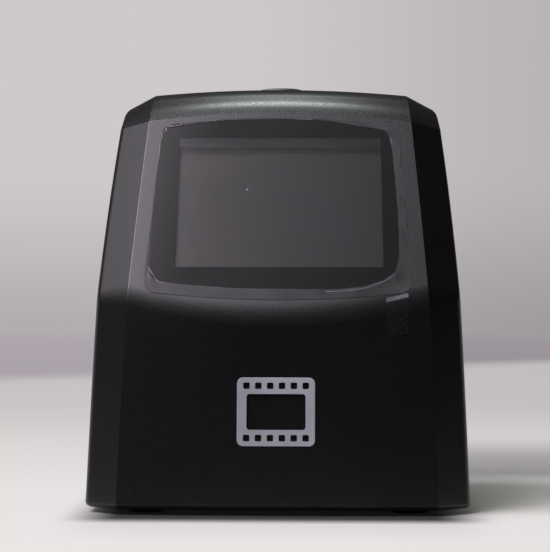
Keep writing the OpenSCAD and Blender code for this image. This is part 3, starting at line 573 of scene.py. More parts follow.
def meet(p: Flat, a: float, q: Flat, b: float) -> Flat:
    """Returns where the line through p at angle a meets the line through q at angle b.

    Args:
        p: Point of the first line.
        a: Angle of the first line from upright, in degrees.
        q: Point of the second line.
        b: Angle of the second line.

    Returns:
        The meeting point.
    """
    u, w = dir_at(a), dir_at(b)
    d = (q[0] - p[0], q[1] - p[1])
    return along(p, u, (d[0] * w[1] - d[1] * w[0]) / (u[0] * w[1] - u[1] * w[0]))


def moved(loop: list[Flat], x: float, y: float) -> list[Flat]:
    """Returns a loop moved by x and y."""
    return [(x + p[0], y + p[1]) for p in loop]


def ring_of(radius: float, steps: int = 48) -> list[Flat]:
    """Returns a circle of points about the origin."""
    return [(radius * math.cos(2 * math.pi * i / steps), radius * math.sin(2 * math.pi * i / steps))
            for i in range(steps)]


def round_rect(width: float, height: float, radius: float, steps: int = 6) -> list[Flat]:
    """Returns the outline of a rectangle with round corners, about its middle.

    Args:
        width: Width of the rectangle.
        height: Height of the rectangle.
        radius: Radius of its corners.
        steps: Steps in each corner.

    Returns:
        The outline's points.
    """
    out = []
    for quarter in range(4):
        sx = 1 if quarter in (0, 3) else -1
        sy = 1 if quarter < 2 else -1
        for i in range(steps + 1):
            a = math.radians(90 * (quarter + i / steps))
            out.append((sx * (width / 2 - radius) + radius * math.cos(a),
                        sy * (height / 2 - radius) + radius * math.sin(a)))
    return out


def inside(p: Flat, loop: Sequence[Flat]) -> bool:
    """Returns whether a flat point lies inside a loop.

    Args:
        p: The point.
        loop: Corners of the loop.

    Returns:
        True where a ray from the point crosses the loop an odd number of times.
    """
    hit = False
    for (x0, y0), (x1, y1) in zip(loop, loop[1:] + loop[:1]):
        if (y0 > p[1]) != (y1 > p[1]) and p[0] < x0 + (p[1] - y0) * (x1 - x0) / (y1 - y0):
            hit = not hit
    return hit


def quads(rows: int, cols: int, close_rows: bool = False, close_cols: bool = False) -> list[list[int]]:
    """Returns the faces of a grid of points, wrapped round where it closes."""
    return [[i * cols + j, i * cols + (j + 1) % cols, (i + 1) % rows * cols + (j + 1) % cols,
             (i + 1) % rows * cols + j]
            for i in range(rows if close_rows else rows - 1) for j in range(cols if close_cols else cols - 1)]


# ---------------------------------------------------------------- mesh helpers
def upright(x: float, y: float, z: float) -> Point:
    """Returns a point of a loop that lies level, at height z."""
    return (x, y, z)


def facing_back(x: float, z: float, y: float) -> Point:
    """Returns a point of a loop that stands facing the back, at depth y."""
    return (x, y, z)


def facing_side(side: int, y: float, z: float, x: float) -> Point:
    """Returns a point of a loop that stands facing a side, x out from the middle."""
    return (side * x, y, z)


def linked(name: str, data: bpy.types.ID) -> Object:
    """Makes an object that holds some data and links it to the scene.

    Args:
        name: Name of the object.
        data: Mesh, camera or lamp.

    Returns:
        The object.
    """
    obj = bpy.data.objects.new(name, data)
    bpy.context.scene.collection.objects.link(obj)
    return obj


def new_object(name: str, points: list[Point], faces: list[list[int]],
               edges: tuple[tuple[int, int], ...] = ()) -> Object:
    """Makes a mesh object from millimetres.

    Args:
        name: Name of the object.
        points: Vertices in millimetres.
        faces: Vertex numbers of each face.
        edges: Vertex numbers of each loose edge.

    Returns:
        The object, linked to the scene.
    """
    mesh = bpy.data.meshes.new(name)
    mesh.from_pydata([tuple(c * MM for c in p) for p in points], edges, faces)
    mesh.validate()
    return linked(name, mesh)


def settle(obj: Object) -> Object:
    """Turns the evaluated object into a plain mesh and drops its modifiers.

    Args:
        obj: Object with modifiers.

    Returns:
        The object.
    """
    bpy.context.view_layer.update()
    mesh = bpy.data.meshes.new_from_object(obj.evaluated_get(bpy.context.evaluated_depsgraph_get()))
    obj.modifiers.clear()
    old, obj.data = obj.data, mesh
    bpy.data.meshes.remove(old)
    return obj


@contextmanager
def editing(obj: Object) -> Iterator[bmesh.types.BMesh]:
    """Opens an object's mesh for an edit and writes it back afterwards.

    Args:
        obj: Object to edit.

    Yields:
        The open mesh.
    """
    work = bmesh.new()
    work.from_mesh(obj.data)
    yield work
    work.to_mesh(obj.data)
    work.free()


def outward(obj: Object) -> Object:
    """Merges doubles and turns every closed part's faces outwards.

    Args:
        obj: Object to mend.

    Returns:
        The object.
    """
    with editing(obj) as work:
        bmesh.ops.remove_doubles(work, verts=work.verts, dist=1e-6)
        bmesh.ops.recalc_face_normals(work, faces=work.faces)
    return obj


def closed(obj: Object) -> Object:
    """Merges a cut mesh's doubles and closes the slits that are left.

    Args:
        obj: Object to close.

    Returns:
        The object.
    """
    with editing(obj) as work:
        bmesh.ops.remove_doubles(work, verts=work.verts, dist=3e-6)
        bmesh.ops.dissolve_degenerate(work, edges=work.edges, dist=1e-6)
        bmesh.ops.holes_fill(work, edges=[e for e in work.edges if e.is_boundary], sides=0)
    return obj


def wear(obj: Object, *finishes: Finish) -> Object:
    """Gives an object these finishes in place of those that it has.

    Args:
        obj: Object to dress.
        *finishes: Its finishes, in the order of its faces' numbers.

    Returns:
        The object.
    """
    obj.data.materials.clear()
    for finish in finishes:
        obj.data.materials.append(finish.material())
    return obj


def two_tone(obj: Object, finishes: tuple[Finish, Finish], second: list[bool]) -> Object:
    """Gives each face the first or the second of two finishes.

    Args:
        obj: Object to dress.
        finishes: The two finishes.
        second: Whether each face has the second one.

    Returns:
        The object.
    """
    wear(obj, *finishes)
    for polygon, flag in zip(obj.data.polygons, second):
        polygon.material_index = int(flag)
    return obj


def join(name: str, objects: list[Object]) -> Object:
    """Joins meshes into one object and removes the others.

    Args:
        name: Name of the result.
        objects: Objects at the origin.

    Returns:
        The joined object.
    """
    work = bmesh.new()
    materials = []
    for obj in objects:
        start = len(work.faces)
        materials += [m for m in obj.data.materials if m not in materials]
        slots = [materials.index(m) for m in obj.data.materials]
        work.from_mesh(obj.data)
        work.faces.ensure_lookup_table()
        for face in work.faces[start:]:
            face.material_index = slots[face.material_index] if slots else 0
    mesh = bpy.data.meshes.new(name)
    work.to_mesh(mesh)
    work.free()
    for material in materials:
        mesh.materials.append(material)
    for obj in objects:
        bpy.data.objects.remove(obj, do_unlink=True)
    return linked(name, mesh)


def combine(obj: Object, other: Object, operation: str = "DIFFERENCE") -> Object:
    """Cuts other out of obj or joins it to it exactly, and removes other.

    Args:
        obj: Object that is changed.
        other: Closed cutter or addition.
        operation: "DIFFERENCE" or "UNION".

    Returns:
        The changed object.
    """
    modifier = obj.modifiers.new("combine", "BOOLEAN")
    modifier.operation = operation
    modifier.solver = "EXACT"
    modifier.object = other
    settle(obj)
    bpy.data.objects.remove(other, do_unlink=True)
    return obj


def smooth(obj: Object, angle: float = 40, weighted: bool = False) -> Object:
    """Shades an object smooth, with sharp edges over an angle.

    Args:
        obj: Object to shade.
        angle: Angle in degrees.
        weighted: Whether large faces lead the normals.

    Returns:
        The object.
    """
    obj.data.shade_smooth()
    obj.data.set_sharp_from_angle(angle=math.radians(angle))
    if weighted:
        modifier = obj.modifiers.new("weighted", "WEIGHTED_NORMAL")
        modifier.keep_sharp = True
        modifier.weight = 60
        settle(obj)
    return obj


def finish_piece(obj: Object, body: Body, slot: str, finish: Finish | None, *nodes: str) -> None:
    """Gives a piece its finish and body, and hides the CAD nodes that it replaces.

    Args:
        obj: Finished mesh at the origin.
        body: Body that it rides on.
        slot: Not used.
        finish: Finish, or None when its faces already have theirs.
        *nodes: CAD nodes that it replaces.
    """
    if finish is not None:
        wear(obj, finish)
    if nodes:
        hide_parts(*nodes)
    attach(obj, body.value)
    LOG.info("%s: %d faces on %s", obj.name, len(obj.data.polygons), body.value)


def loft(name: str, rings: list[list[Point]], looped: bool = False) -> Object:
    """Makes a closed solid through rings of equal length.

    Args:
        name: Name of the object.
        rings: Rings of points, in order.
        looped: Whether the last ring joins the first one; if not, both have flat ends.

    Returns:
        The object, with its faces outwards.
    """
    rows, count = len(rings), len(rings[0])
    faces = quads(rows, count, looped, True)
    if not looped:
        faces += [list(range(count))[::-1], [(rows - 1) * count + j for j in range(count)]]
    return outward(new_object(name, [p for ring in rings for p in ring], faces))


def stack(name: str, place: Place, levels: list[tuple[float, list[Flat]]]) -> Object:
    """Makes a closed solid through flat loops at several levels."""
    return loft(name, [[place(x, y, n) for x, y in loop] for n, loop in levels])


def prism(name: str, place: Place, loop: list[Flat], levels: tuple[float, ...]) -> Object:
    """Makes a closed solid with one loop at every level."""
    return stack(name, place, [(n, loop) for n in levels])


@dataclass(frozen=True)
class Opening:
    """Place and size of an opening; it is round where it has no width."""

    x: float
    y: float
    width: float = 0.0
    height: float = 0.0
    radius: float = 0.0
    steps: int = 6
    spread: float = 1.0

    def loop(self, g: float) -> list[Flat]:
        """Returns the opening's outline in place, grown by g.

        Args:
            g: Growth on every side.

        Returns:
            The outline's points.
        """
        if self.width:
            loop = round_rect(self.width + 2 * g, self.height + 2 * g, self.radius + g, self.steps)
        else:
            loop = ring_of(self.radius + g * self.spread, self.steps)
        return moved(loop, self.x, self.y)

    def cutter(self, name: str, place: Place, face: float, levels: tuple[Flat, ...]) -> Object:
        """Returns the closed cutter of the opening."""
        return stack(name, place, [(face + n, self.loop(g)) for n, g in levels])


# ---------------------------------------------------------------- the body's outline
# edge point, side point, start of the side wall's flat, inset, and how far its middle stands off the edge
Row = tuple[Flat, Flat, Flat, float, Flat]
FIFTHS = (0.2, 0.4, 0.6, 0.8)


def curve(a: Vector, p: Vector, b: Vector, steps: int) -> list[Vector]:
    """Returns the points of a curve from a to b that bends at p."""
    return [a * (1 - t) ** 2 + p * 2 * t * (1 - t) + b * t * t for t in (i / steps for i in range(steps + 1))]


@dataclass
class Outline:
    """Sizes and side profile of the body, in millimetres."""

    base_w: float = 90.6
    base_d: float = 89
    shoulder_w: float = 79.6
    side_bow: float = 0.83
    face_w: float = 74.8
    brow_w: float = 64
    face_bulge: float = 1.2
    top_z: float = 102.7
    top_crown: float = 1.45
    front_lean: float = 5
    screen_tilt: float = 30.5
    brow_tilt: float = 52
    top_rise: float = 1
    rear_lean: float = 2.2
    screen_rise: float = 45.7
    brow_drop: float = 8.0
    bend_r: float = 14
    brow_r: float = 15
    rear_r: float = 5
    brow_arch: float = 2.6
    face_bow: float = 0.6
    foot_h: float = 1.2
    chamfer: tuple[float, ...] = (6.2, 5.5, 4.6, 4, 6)
    crease_r: float = 1.6
    columns: int = 24
    side_round: float = 1.5
    face_round: float = 0.06
    foot_round: float = 1.3
    brow_swell: float = 0.32
    bend_rise: float = 2.3

    def __post_init__(self) -> None:
        """Works out the faces of the profile, each a point and an angle from upright."""
        self.shoulder_z = self.top_z - self.chamfer[3]
        self.brow_z = self.top_z - self.brow_drop
        self.bend_z = self.brow_z - self.screen_rise
        self.front_y = -self.base_d / 2 + self.face_bulge - self.foot_h * tan_of(self.front_lean)
        self.back_y = self.base_d / 2 + self.foot_h * tan_of(self.rear_lean)
        self.bend_y = self.front_y + self.bend_z * tan_of(self.front_lean)
        fold_y, fold_z = self.bend_y + self.bend_rise * tan_of(self.screen_tilt), self.bend_z + self.bend_rise
        self.edge_lean = math.degrees(math.atan2(fold_y - self.front_y, fold_z))
        self.brow_y = self.bend_y + self.screen_rise * tan_of(self.screen_tilt)
        self.faces = [
            ((self.front_y, 0), self.edge_lean), ((self.bend_y, self.bend_z), self.screen_tilt),
            ((self.brow_y, self.brow_z), self.brow_tilt), ((0, self.top_z), 90 - self.top_rise),
            ((self.back_y, 0), 180 - self.rear_lean)]

    def front_bulge(self, z: float) -> float:
        """Returns how far the middle of the lower front stands before its edges at a height."""
        return self.face_bulge + z * (tan_of(self.edge_lean) - tan_of(self.front_lean))

    def side_x(self, z: float) -> float:
        """Returns half the body's width at a height."""
        t = z / self.shoulder_z
        return share(self.base_w, self.shoulder_w, t) / 2 + self.side_bow * 4 * t * (1 - t) * (0.5 + t)

    def edge_x(self, z: float) -> float:
        """Returns half the front face's width at a height."""
        t = z / self.top_z
        return share(self.face_w, self.brow_w, t) / 2 + self.face_bow * 4 * t * (1 - t)

    def crown(self, x: float) -> float:
        """Returns how far the top stands over its edges at x."""
        return self.top_crown * (1 - (x / self.edge_x(self.top_z)) ** 2)

    def face_point(self, i: int, d: float, k: int) -> Flat:
        """Returns a point of face i, inset by d and by its chamfer where k is 1."""
        return along(self.faces[i][0], inward_at(self.faces[i][1]), d + k * self.chamfer[i])

    def vertex(self, i: int, d: float, k: int) -> Flat:
        """Returns where face i meets the next one."""
        return meet(self.face_point(i, d, k), self.faces[i][1], self.face_point(i + 1, d, k),
                    self.faces[i + 1][1])

    def at_height(self, i: int, d: float, k: int, z: float) -> Flat:
        """Returns the point of face i at a height."""
        p = self.face_point(i, d, k)
        return (p[0] + (z - p[1]) * tan_of(self.faces[i][1]), z)

    def rounded(self, i: int, d: float, k: int, radius: float, steps: int) -> list[Flat]:
        """Returns the arc between face i and the next one.

        Args:
            i: Number of the face.
            d: Inset of the body.
            k: 1 at the side wall, 0 at the edge of the face.
            radius: Radius at the edge of the face without an inset.
            steps: Steps of the arc.

        Returns:
            The arc's points.
        """
        a, b = self.faces[i][1], self.faces[i + 1][1]
        r = max(radius - d - k * (self.chamfer[i] + self.chamfer[i + 1]) / 2, 0.6)
        c = along(along(self.vertex(i, d, k), dir_at(a), -r * tan_of((b - a) / 2)), inward_at(a), r)
        return [along(c, inward_at(share(a, b, j / steps)), -r) for j in range(steps + 1)]

    def front_rows(self, d: float, k: int, z_low: float) -> list[Flat]:
        """Returns the profile from the foot up to the brow line.

        Args:
            d: Inset of the body.
            k: 1 at the side wall, 0 at the edge of the face.
            z_low: Height of the foot.

        Returns:
            5 points below the bend, 11 round it, 4 up the screen face and 5 round the brow line.
        """
        foot = [self.at_height(0, d, k, share(z_low, self.bend_z - 5, t)) for t in (0.1, 0.3, 0.5, 0.7, 0.9)]
        bend = self.rounded(0, d, k, self.bend_r, 10)
        brow = self.rounded(1, d, k, self.crease_r, 4)
        return foot + bend + [between(bend[-1], brow[0], t) for t in FIFTHS] + brow

    def foot_rows(self, d: float, z_low: float, face: int) -> list[tuple[Flat, Flat, float]]:
        """Returns the rounded foot of a face, lowest first.

        Args:
            d: Inset of the body.
            z_low: Height of the underside.
            face: Number of the face.

        Returns:
            Edge point, side point and whole inset of each row.
        """
        r = self.foot_round if d == 0 else 0.0
        rows = []
        for a in (90, 67, 45, 22, 0) if r else (0,):
            inset = d + r * (1 - math.cos(math.radians(a)))
            z = z_low + r * (1 - math.sin(math.radians(a)))
            rows.append((self.at_height(face, inset, 0, z), self.at_height(face, inset, 1, z), inset))
        return rows

    def rows(self, d: float, z_low: float) -> tuple[list[Row], int]:
        """Returns the rows right round the body, from the front's foot to the rear's.

        Args:
            d: Inset of every face.
            z_low: Height of the underside.

        Returns:
            The rows and the number of the one at the brow line.
        """
        r, up = self.side_round, dir_at(self.screen_tilt)
        reach = self.face_bulge / math.sin(math.radians(self.screen_tilt - self.front_lean))
        reach += self.bend_rise / math.cos(math.radians(self.screen_tilt))
        bend, arch = along((0, 0), up, -reach), along((0, 0), up, self.brow_arch)
        level, crown = (0.0, 0.0), (0.0, self.top_crown)
        rows = [(e, w, along(w, (1, 0), r), inset, (-self.front_bulge(e[1]), 0.0))
                for e, w, inset in self.foot_rows(d, z_low, 0)]
        low = len(rows)
        start = z_low + (self.foot_round if d == 0 else 0)
        edges, sides = self.front_rows(d, 0, start), self.front_rows(d, 1, start)
        shifts = [(-self.front_bulge(e[1]), 0.0) for e in edges[:5]] + [bend] * 11 + [level] * 4 + [arch] * 5
        rows += [(e, w, along(w, (1, 0), r), d, s) for e, w, s in zip(edges, sides, shifts)]
        strips = len(rows) - 1
        brow, rear = ([self.rounded(i, d + q, k, radius, 8) for q, k in ((0, 0), (0, 1), (r, 1))]
                      for i, radius in ((2, self.brow_r), (3, self.rear_r)))
        swell = self.brow_swell if d == 0 else 0
        for t in (0.25, 0.5, 0.75):
            points = [between(a, b[0], t) for a, b in zip(rows[strips][:3], brow)]
            points[0] = along(points[0], inward_at(self.brow_tilt), -swell * 4 * t * (1 - t))
            rows.append((*points, d, between(arch, between(arch, crown, 0.6), t)))
        rows += [(*p, d, between(arch, crown, 0.6 + 0.05 * i)) for i, p in enumerate(zip(*brow))]
        flat = [tuple(between(a[-1], b[0], t) for a, b in zip(brow, rear)) for t in FIFTHS]
        rows += [(*p, d, crown) for p in flat + list(zip(*rear))]
        for i in range(strips, low - 1, -1):
            e, w = (self.at_height(4, d, k, rows[i][1][1]) for k in (0, 1))
            rows.append((e, w, along(w, (-1, 0), r), d, level))
        rows += [(e, w, along(w, (-1, 0), r), inset, level)
                 for e, w, inset in self.foot_rows(d, z_low, 4)[::-1]]
        return rows, strips

    def solid(self, name: str, d: float, z_low: float) -> Object:
        """Makes the closed body, inset by d and cut off at a height.

        Args:
            name: Name of the object.
            d: Inset of every face.
            z_low: Height of the underside.

        Returns:
            The body's closed mesh.
        """
        rows, strips = self.rows(d, z_low)
        grid = [self.cross_row(*row, round_off=d == 0) for row in rows]
        cols, last = len(grid[0]), len(grid) - 1
        faces = quads(len(grid), cols, close_rows=True)
        for col in (0, cols - 1):
            wall = [i * cols + col for i in range(len(grid))]
            faces += [[wall[i], wall[i + 1], wall[last - i - 1], wall[last - i]] for i in range(strips)]
            faces.append(wall[strips:last - strips + 1])
        return outward(new_object(name, [p for row in grid for p in row], faces))

    def cross_row(self, e: Flat, w: Flat, q: Flat, inset: float, shift: Flat, round_off: bool) -> list[Point]:
        """Returns one row of points from the left side wall to the right one.

        Args:
            e: Profile point at the edge of the face.
            w: Profile point at the side wall.
            q: Profile point where the flat of the side wall starts.
            inset: Inset of the row.
            shift: How far the row's middle stands off the edge.
            round_off: Whether the creases are rounded.

        Returns:
            The row's points.
        """
        ex, wx, qx = self.edge_x(e[1]) - 0.45 * inset, self.side_x(w[1]) - inset, self.side_x(q[1]) - inset
        half = self.columns // 2
        middle = [Vector((c * ex, e[0] + shift[0] * (1 - c * c), e[1] + shift[1] * (1 - c * c)))
                  for c in (i / half for i in range(-half, half + 1))]
        if not round_off:
            return [(-wx, *w), *map(tuple, middle), (wx, *w)]
        left = self.creases(Vector((-qx, *q)), Vector((-wx, *w)), middle[0], middle[1])
        right = self.creases(Vector((qx, *q)), Vector((wx, *w)), middle[-1], middle[-2])
        return [tuple(p) for p in left + middle[1:-1] + right[::-1]]

    def creases(self, wall: Vector, corner: Vector, edge: Vector, inner: Vector) -> list[Vector]:
        """Returns the start of a row, round the two creases of its chamfer.

        Args:
            wall: Point on the flat of the side wall.
            corner: Where the side wall meets the chamfer.
            edge: Where the chamfer meets the face.
            inner: Next point of the face.

        Returns:
            The points from the side wall to the face.
        """
        slope, on = (edge - corner).normalized(), (inner - edge).normalized()
        return curve(wall, corner, corner + slope * self.side_round, 5) + \
            curve(edge - slope * self.face_round, edge, edge + on * self.face_round, 4)

    def on_screen(self, x: float, s: float, n: float) -> Point:
        """Returns the point at x, s up the screen face and n out of it."""
        a = math.radians(self.screen_tilt)
        return (x, self.bend_y + s * math.sin(a) - n * math.cos(a),
                self.bend_z + s * math.cos(a) + n * math.sin(a))

    def on_face(self, x: float, s: float, n: float) -> Point:
        """Returns the point at x, s up the lower front face and n out of its middle."""
        a, y = math.radians(self.front_lean), self.front_y - self.face_bulge
        return (x, y + s * math.sin(a) - n * math.cos(a), s * math.cos(a) + n * math.sin(a))

    def on_top(self, x: float, y: float, n: float) -> Point:
        """Returns the point at x, y along the top and n over its edges."""
        a = math.radians(self.top_rise)
        return (x, y * math.cos(a) - n * math.sin(a), self.top_z + y * math.sin(a) + n * math.cos(a))

    def rear_y(self, z: float) -> float:
        """Returns where the rear wall is at a height."""
        return self.back_y - z * tan_of(self.rear_lean)


@dataclass(frozen=True)
class PaneShape:
    """Outline of the screen pane, as x and s up the screen face."""

    foot_w: float = 63
    head_w: float = 58.8
    foot_s: float = 3
    head_s: float = 51.7
    foot_bow: float = 1.8
    head_bow: float = 2.2
    radius: float = 3.2

    def loop(self, g: float, steps: int = 24) -> list[Flat]:
        """Returns the outline grown by g.

        Args:
            g: Growth on every side.
            steps: Steps of the bowed edges.

        Returns:
            The outline's points.
        """
        r = self.radius + g
        fx, hx = self.foot_w / 2 + g - r, self.head_w / 2 + g - r
        fs, hs = self.foot_s - g + r, self.head_s + g - r
        parts = [[(share(-fx, fx, t), fs - r - self.foot_bow * 4 * t * (1 - t))
                  for t in (i / steps for i in range(1, steps))]]
        parts += [self.corner(fx, fs, r, -90), self.corner(hx, hs, r, 0)]
        parts += [[(share(hx, -hx, t), hs + r + self.head_bow * 4 * t * (1 - t))
                   for t in (i / steps for i in range(1, steps))]]
        parts += [self.corner(-hx, hs, r, 90), self.corner(-fx, fs, r, 180)]
        return [p for part in parts for p in part]

    @staticmethod
    def corner(x: float, s: float, r: float, start: float) -> list[Flat]:
        """Returns a round corner about x, s that starts at an angle in degrees."""
        turn = [math.radians(start + 9 * i) for i in range(11)]
        return [(x + r * math.cos(a), s + r * math.sin(a)) for a in turn]


OUT = Outline()
PANE = PaneShape()


# ---------------------------------------------------------------- camera and studio
@dataclass
class Studio:
    """The camera, the floor with its painted shadows and shade, and the soft light."""

    eye: Point = (7.07, -467.84, 44.87)
    yaw: float = 0.018066
    pitch: float = 0.02469
    roll: float = 0.0027888
    focal_px: float = 1835.54
    frame_px: int = 550
    sensor: float = 36
    floor_half: float = 6000
    table_edge: float = -128
    table: Colour = (0.395, 0.4, 0.37)
    glow: Point = (-0.47, -0.29, 0.83)
    glow_strength: float = 16.2
    veil_strength: float = 1.4
    side: Point = (-0.79, 0.05, 0.64)
    side_strength: float = 0.95
    tint: Colour = (1.0, 0.935, 1.02)
    room: Flat = (0.013, 0.07)
    backdrop: Colour = (0.617, 0.584, 0.591)
    lamp: Point = (-9, 134, 480)
    lamp_size: Flat = (96, 56)
    lamp_aim: Point = (0, -8, 98)
    lamp_tint: Colour = (0.93, 1.0, 0.97)
    lamp_power: float = 0.312

    def build(self) -> None:
        """Makes the camera, the world light and the floor."""
        self.camera()
        self.world()
        self.top_lamp()
        self.floor()

    def camera(self) -> None:
        """Makes the camera at the fitted place."""
        data = bpy.data.cameras.new("view")
        data.sensor_fit = "HORIZONTAL"
        data.sensor_width = self.sensor
        data.lens = self.focal_px * self.sensor / self.frame_px
        data.clip_end = 30
        p, y, c, s = -self.pitch, self.yaw, math.cos(self.roll), math.sin(self.roll)
        ahead = Vector((-math.sin(y) * math.cos(p), math.cos(y) * math.cos(p), -math.sin(p)))
        right = Vector((math.cos(y), math.sin(y), 0))
        up = right.cross(ahead)
        right, up = right * c + up * s, up * c - right * s
        camera = linked("view", data)
        turn = Matrix((right, up, -ahead)).transposed().to_4x4()
        camera.matrix_world = Matrix.Translation(Vector(self.eye) * MM) @ turn
        bpy.context.scene.camera = camera

    def top_lamp(self) -> None:
        """Makes the small soft lamp over the back, which lights the brow."""
        data = bpy.data.lights.new("top_lamp", "AREA")
        data.shape = "ELLIPSE"
        data.size, data.size_y = (side * MM for side in self.lamp_size)
        data.energy = self.lamp_power
        data.color = self.lamp_tint
        lamp = linked("top_lamp", data)
        lamp.location = Vector(self.lamp) * MM
        aim = Vector(self.lamp_aim) * MM - lamp.location
        lamp.rotation_euler = aim.to_track_quat("-Z", "Y").to_euler()

    @staticmethod
    def lobe(tree: Nodes, ray: Socket, centre: Point, inner: float, outer: float, strength: float) -> Socket:
        """Returns a round patch of light."""
        near = tree.add("VectorMath", {0: ray, 1: Vector(centre).normalized()}, "Value",
                        operation="DOT_PRODUCT")
        return tree.ramp(near, math.cos(math.radians(outer)), math.cos(math.radians(inner)), 0.0, strength)

    def world(self) -> None:
        """Makes the world: a soft glow overhead for the light and a pale backdrop with painted shade for the
        eye.
        """
        world = bpy.data.worlds.new("studio")
        world.use_nodes = True
        bpy.context.scene.world = world
        tree = Nodes(world.node_tree)
        ray = tree.add("TexCoord", out="Generated")
        x, y, z = (tree.add("SeparateXYZ", {0: ray}, axis) for axis in "XYZ")
        room = tree.math("MULTIPLY", tree.ramp(x, 0.2, 0.95, 1.0, 0.3), tree.ramp(z, 0.0, 0.5, *self.room))
        light = tree.math("ADD", self.lobe(tree, ray, self.glow, 8, 26, self.glow_strength),
                          self.lobe(tree, ray, self.glow, 12, 38, self.veil_strength))
        light = tree.math("ADD", light, self.lobe(tree, ray, self.side, 8, 23, self.side_strength))
        lit = tree.add("Background", {"Color": self.tint, "Strength": tree.math("ADD", light, room)})
        # painted shade: the backdrop darker to the right; it is also darker near the horizon
        level = tree.math("MULTIPLY", tree.ramp(x, -0.06, 0.14, 1.0, 0.79),
                          tree.ramp(z, -0.02, 0.09, 0.7, 1.0))
        seen = tree.add("Background", {"Color": self.backdrop, "Strength": level})
        wall = tree.math("MULTIPLY", tree.ramp(y, 0.1, 0.4), tree.ramp(z, 0.1, 0.22, 1.0, 0.0))
        eye, through, gloss = (tree.add("LightPath", out="Is %s Ray" % kind)
                               for kind in ("Camera", "Transmission", "Glossy"))
        plain = tree.math("MAXIMUM", tree.math("MAXIMUM", eye, through), tree.math("MULTIPLY", gloss, wall))
        shader = tree.add("MixShader", {0: plain, 1: lit, 2: seen})
        tree.feed(tree.tree.nodes.new("ShaderNodeOutputWorld").inputs[0], shader)

    def floor(self) -> None:
        """Makes the pale table top, with its near edge in front and its far edge at a slant behind; its colour
        holds painted shadows and painted shade.
        """
        h = self.floor_half
        floor = new_object("table_top",
                           [(-h, self.table_edge, 0), (h, self.table_edge, 0), (h, h, 0), (-h, h, 0)],
                           [[0, 1, 2, 3]])
        tree = Tree("table_pale_painted_shade")
        x, y = tree.axis("X"), tree.axis("Y")
        a, b = Vector((-0.227, 0.927)), Vector((0.285, 1.643))
        across = Vector((a.y - b.y, b.x - a.x)).normalized()
        far = tree.add("VectorMath", {0: tree.place, 1: (across.x, across.y, 0.0)}, "Value",
                       operation="DOT_PRODUCT")
        edge = across.dot(a)
        tone = tree.ramp(tree.noise(3, 3), 0.3, 0.7)
        near, dark = tree.mix(tone, tinted(self.table, 0.97), tinted(self.table, 1.02)), (0.0, 0.0, 0.0)
        # painted shade: the table darker further back
        near = tree.mix(tree.ramp(y, -0.16, 0.55, 0.0, 0.25), near, dark)
        # painted shade: the table darker to the right
        near = tree.mix(tree.ramp(x, -0.02, 0.12, 0.0, 0.06), near, dark)
        # painted shadow: the table is darkened just in front of the body, with a fainter band further forward
        front = tree.ramp(y, -0.064, -0.0485, 0.0, 0.95)
        front = tree.math("MAXIMUM", front, tree.ramp(y, -0.098, -0.058, 0.0, 0.13))
        front = tree.math("MULTIPLY", front, tree.ramp(tree.math("ABSOLUTE", x), 0.036, 0.052, 1.0, 0.0))
        front = tree.math("MULTIPLY", front, tree.ramp(y, 0.0, 0.04, 1.0, 0.0))
        # painted shadow: a soft dark patch on the table behind the body's right side
        behind = tree.math("MULTIPLY", tree.ramp(y, 0.05, 0.085), tree.ramp(y, 0.12, 0.26, 0.5, 0.0))
        behind = tree.math("MULTIPLY", behind, tree.ramp(x, 0.02, 0.05))
        near = tree.mix(tree.math("MULTIPLY", behind, tree.ramp(x, 0.11, 0.2, 1.0, 0.0)), near, dark)
        near = tree.mix(front, near, dark)
        # beyond the table's far edge: darker to the right as painted shade, and paler towards the horizon
        beyond = tree.mix(tree.ramp(x, -0.1, 0.1), (0.203, 0.193, 0.196), (0.157, 0.15, 0.156))
        beyond = tree.mix(tree.ramp(y, 1.2, 5.5, 0.0, 0.04), beyond, (0.6, 0.57, 0.58))
        colour = tree.mix(tree.ramp(far, edge - 0.13, edge + 0.13), near, beyond)
        # the table glows with its own colour: painted light that lightens its shadows
        tree.set(Base_Color=colour, Emission_Color=colour, Emission_Strength=0.27, Roughness=0.6,
                 Specular_IOR_Level=0.2)
        floor.data.materials.append(tree.material)


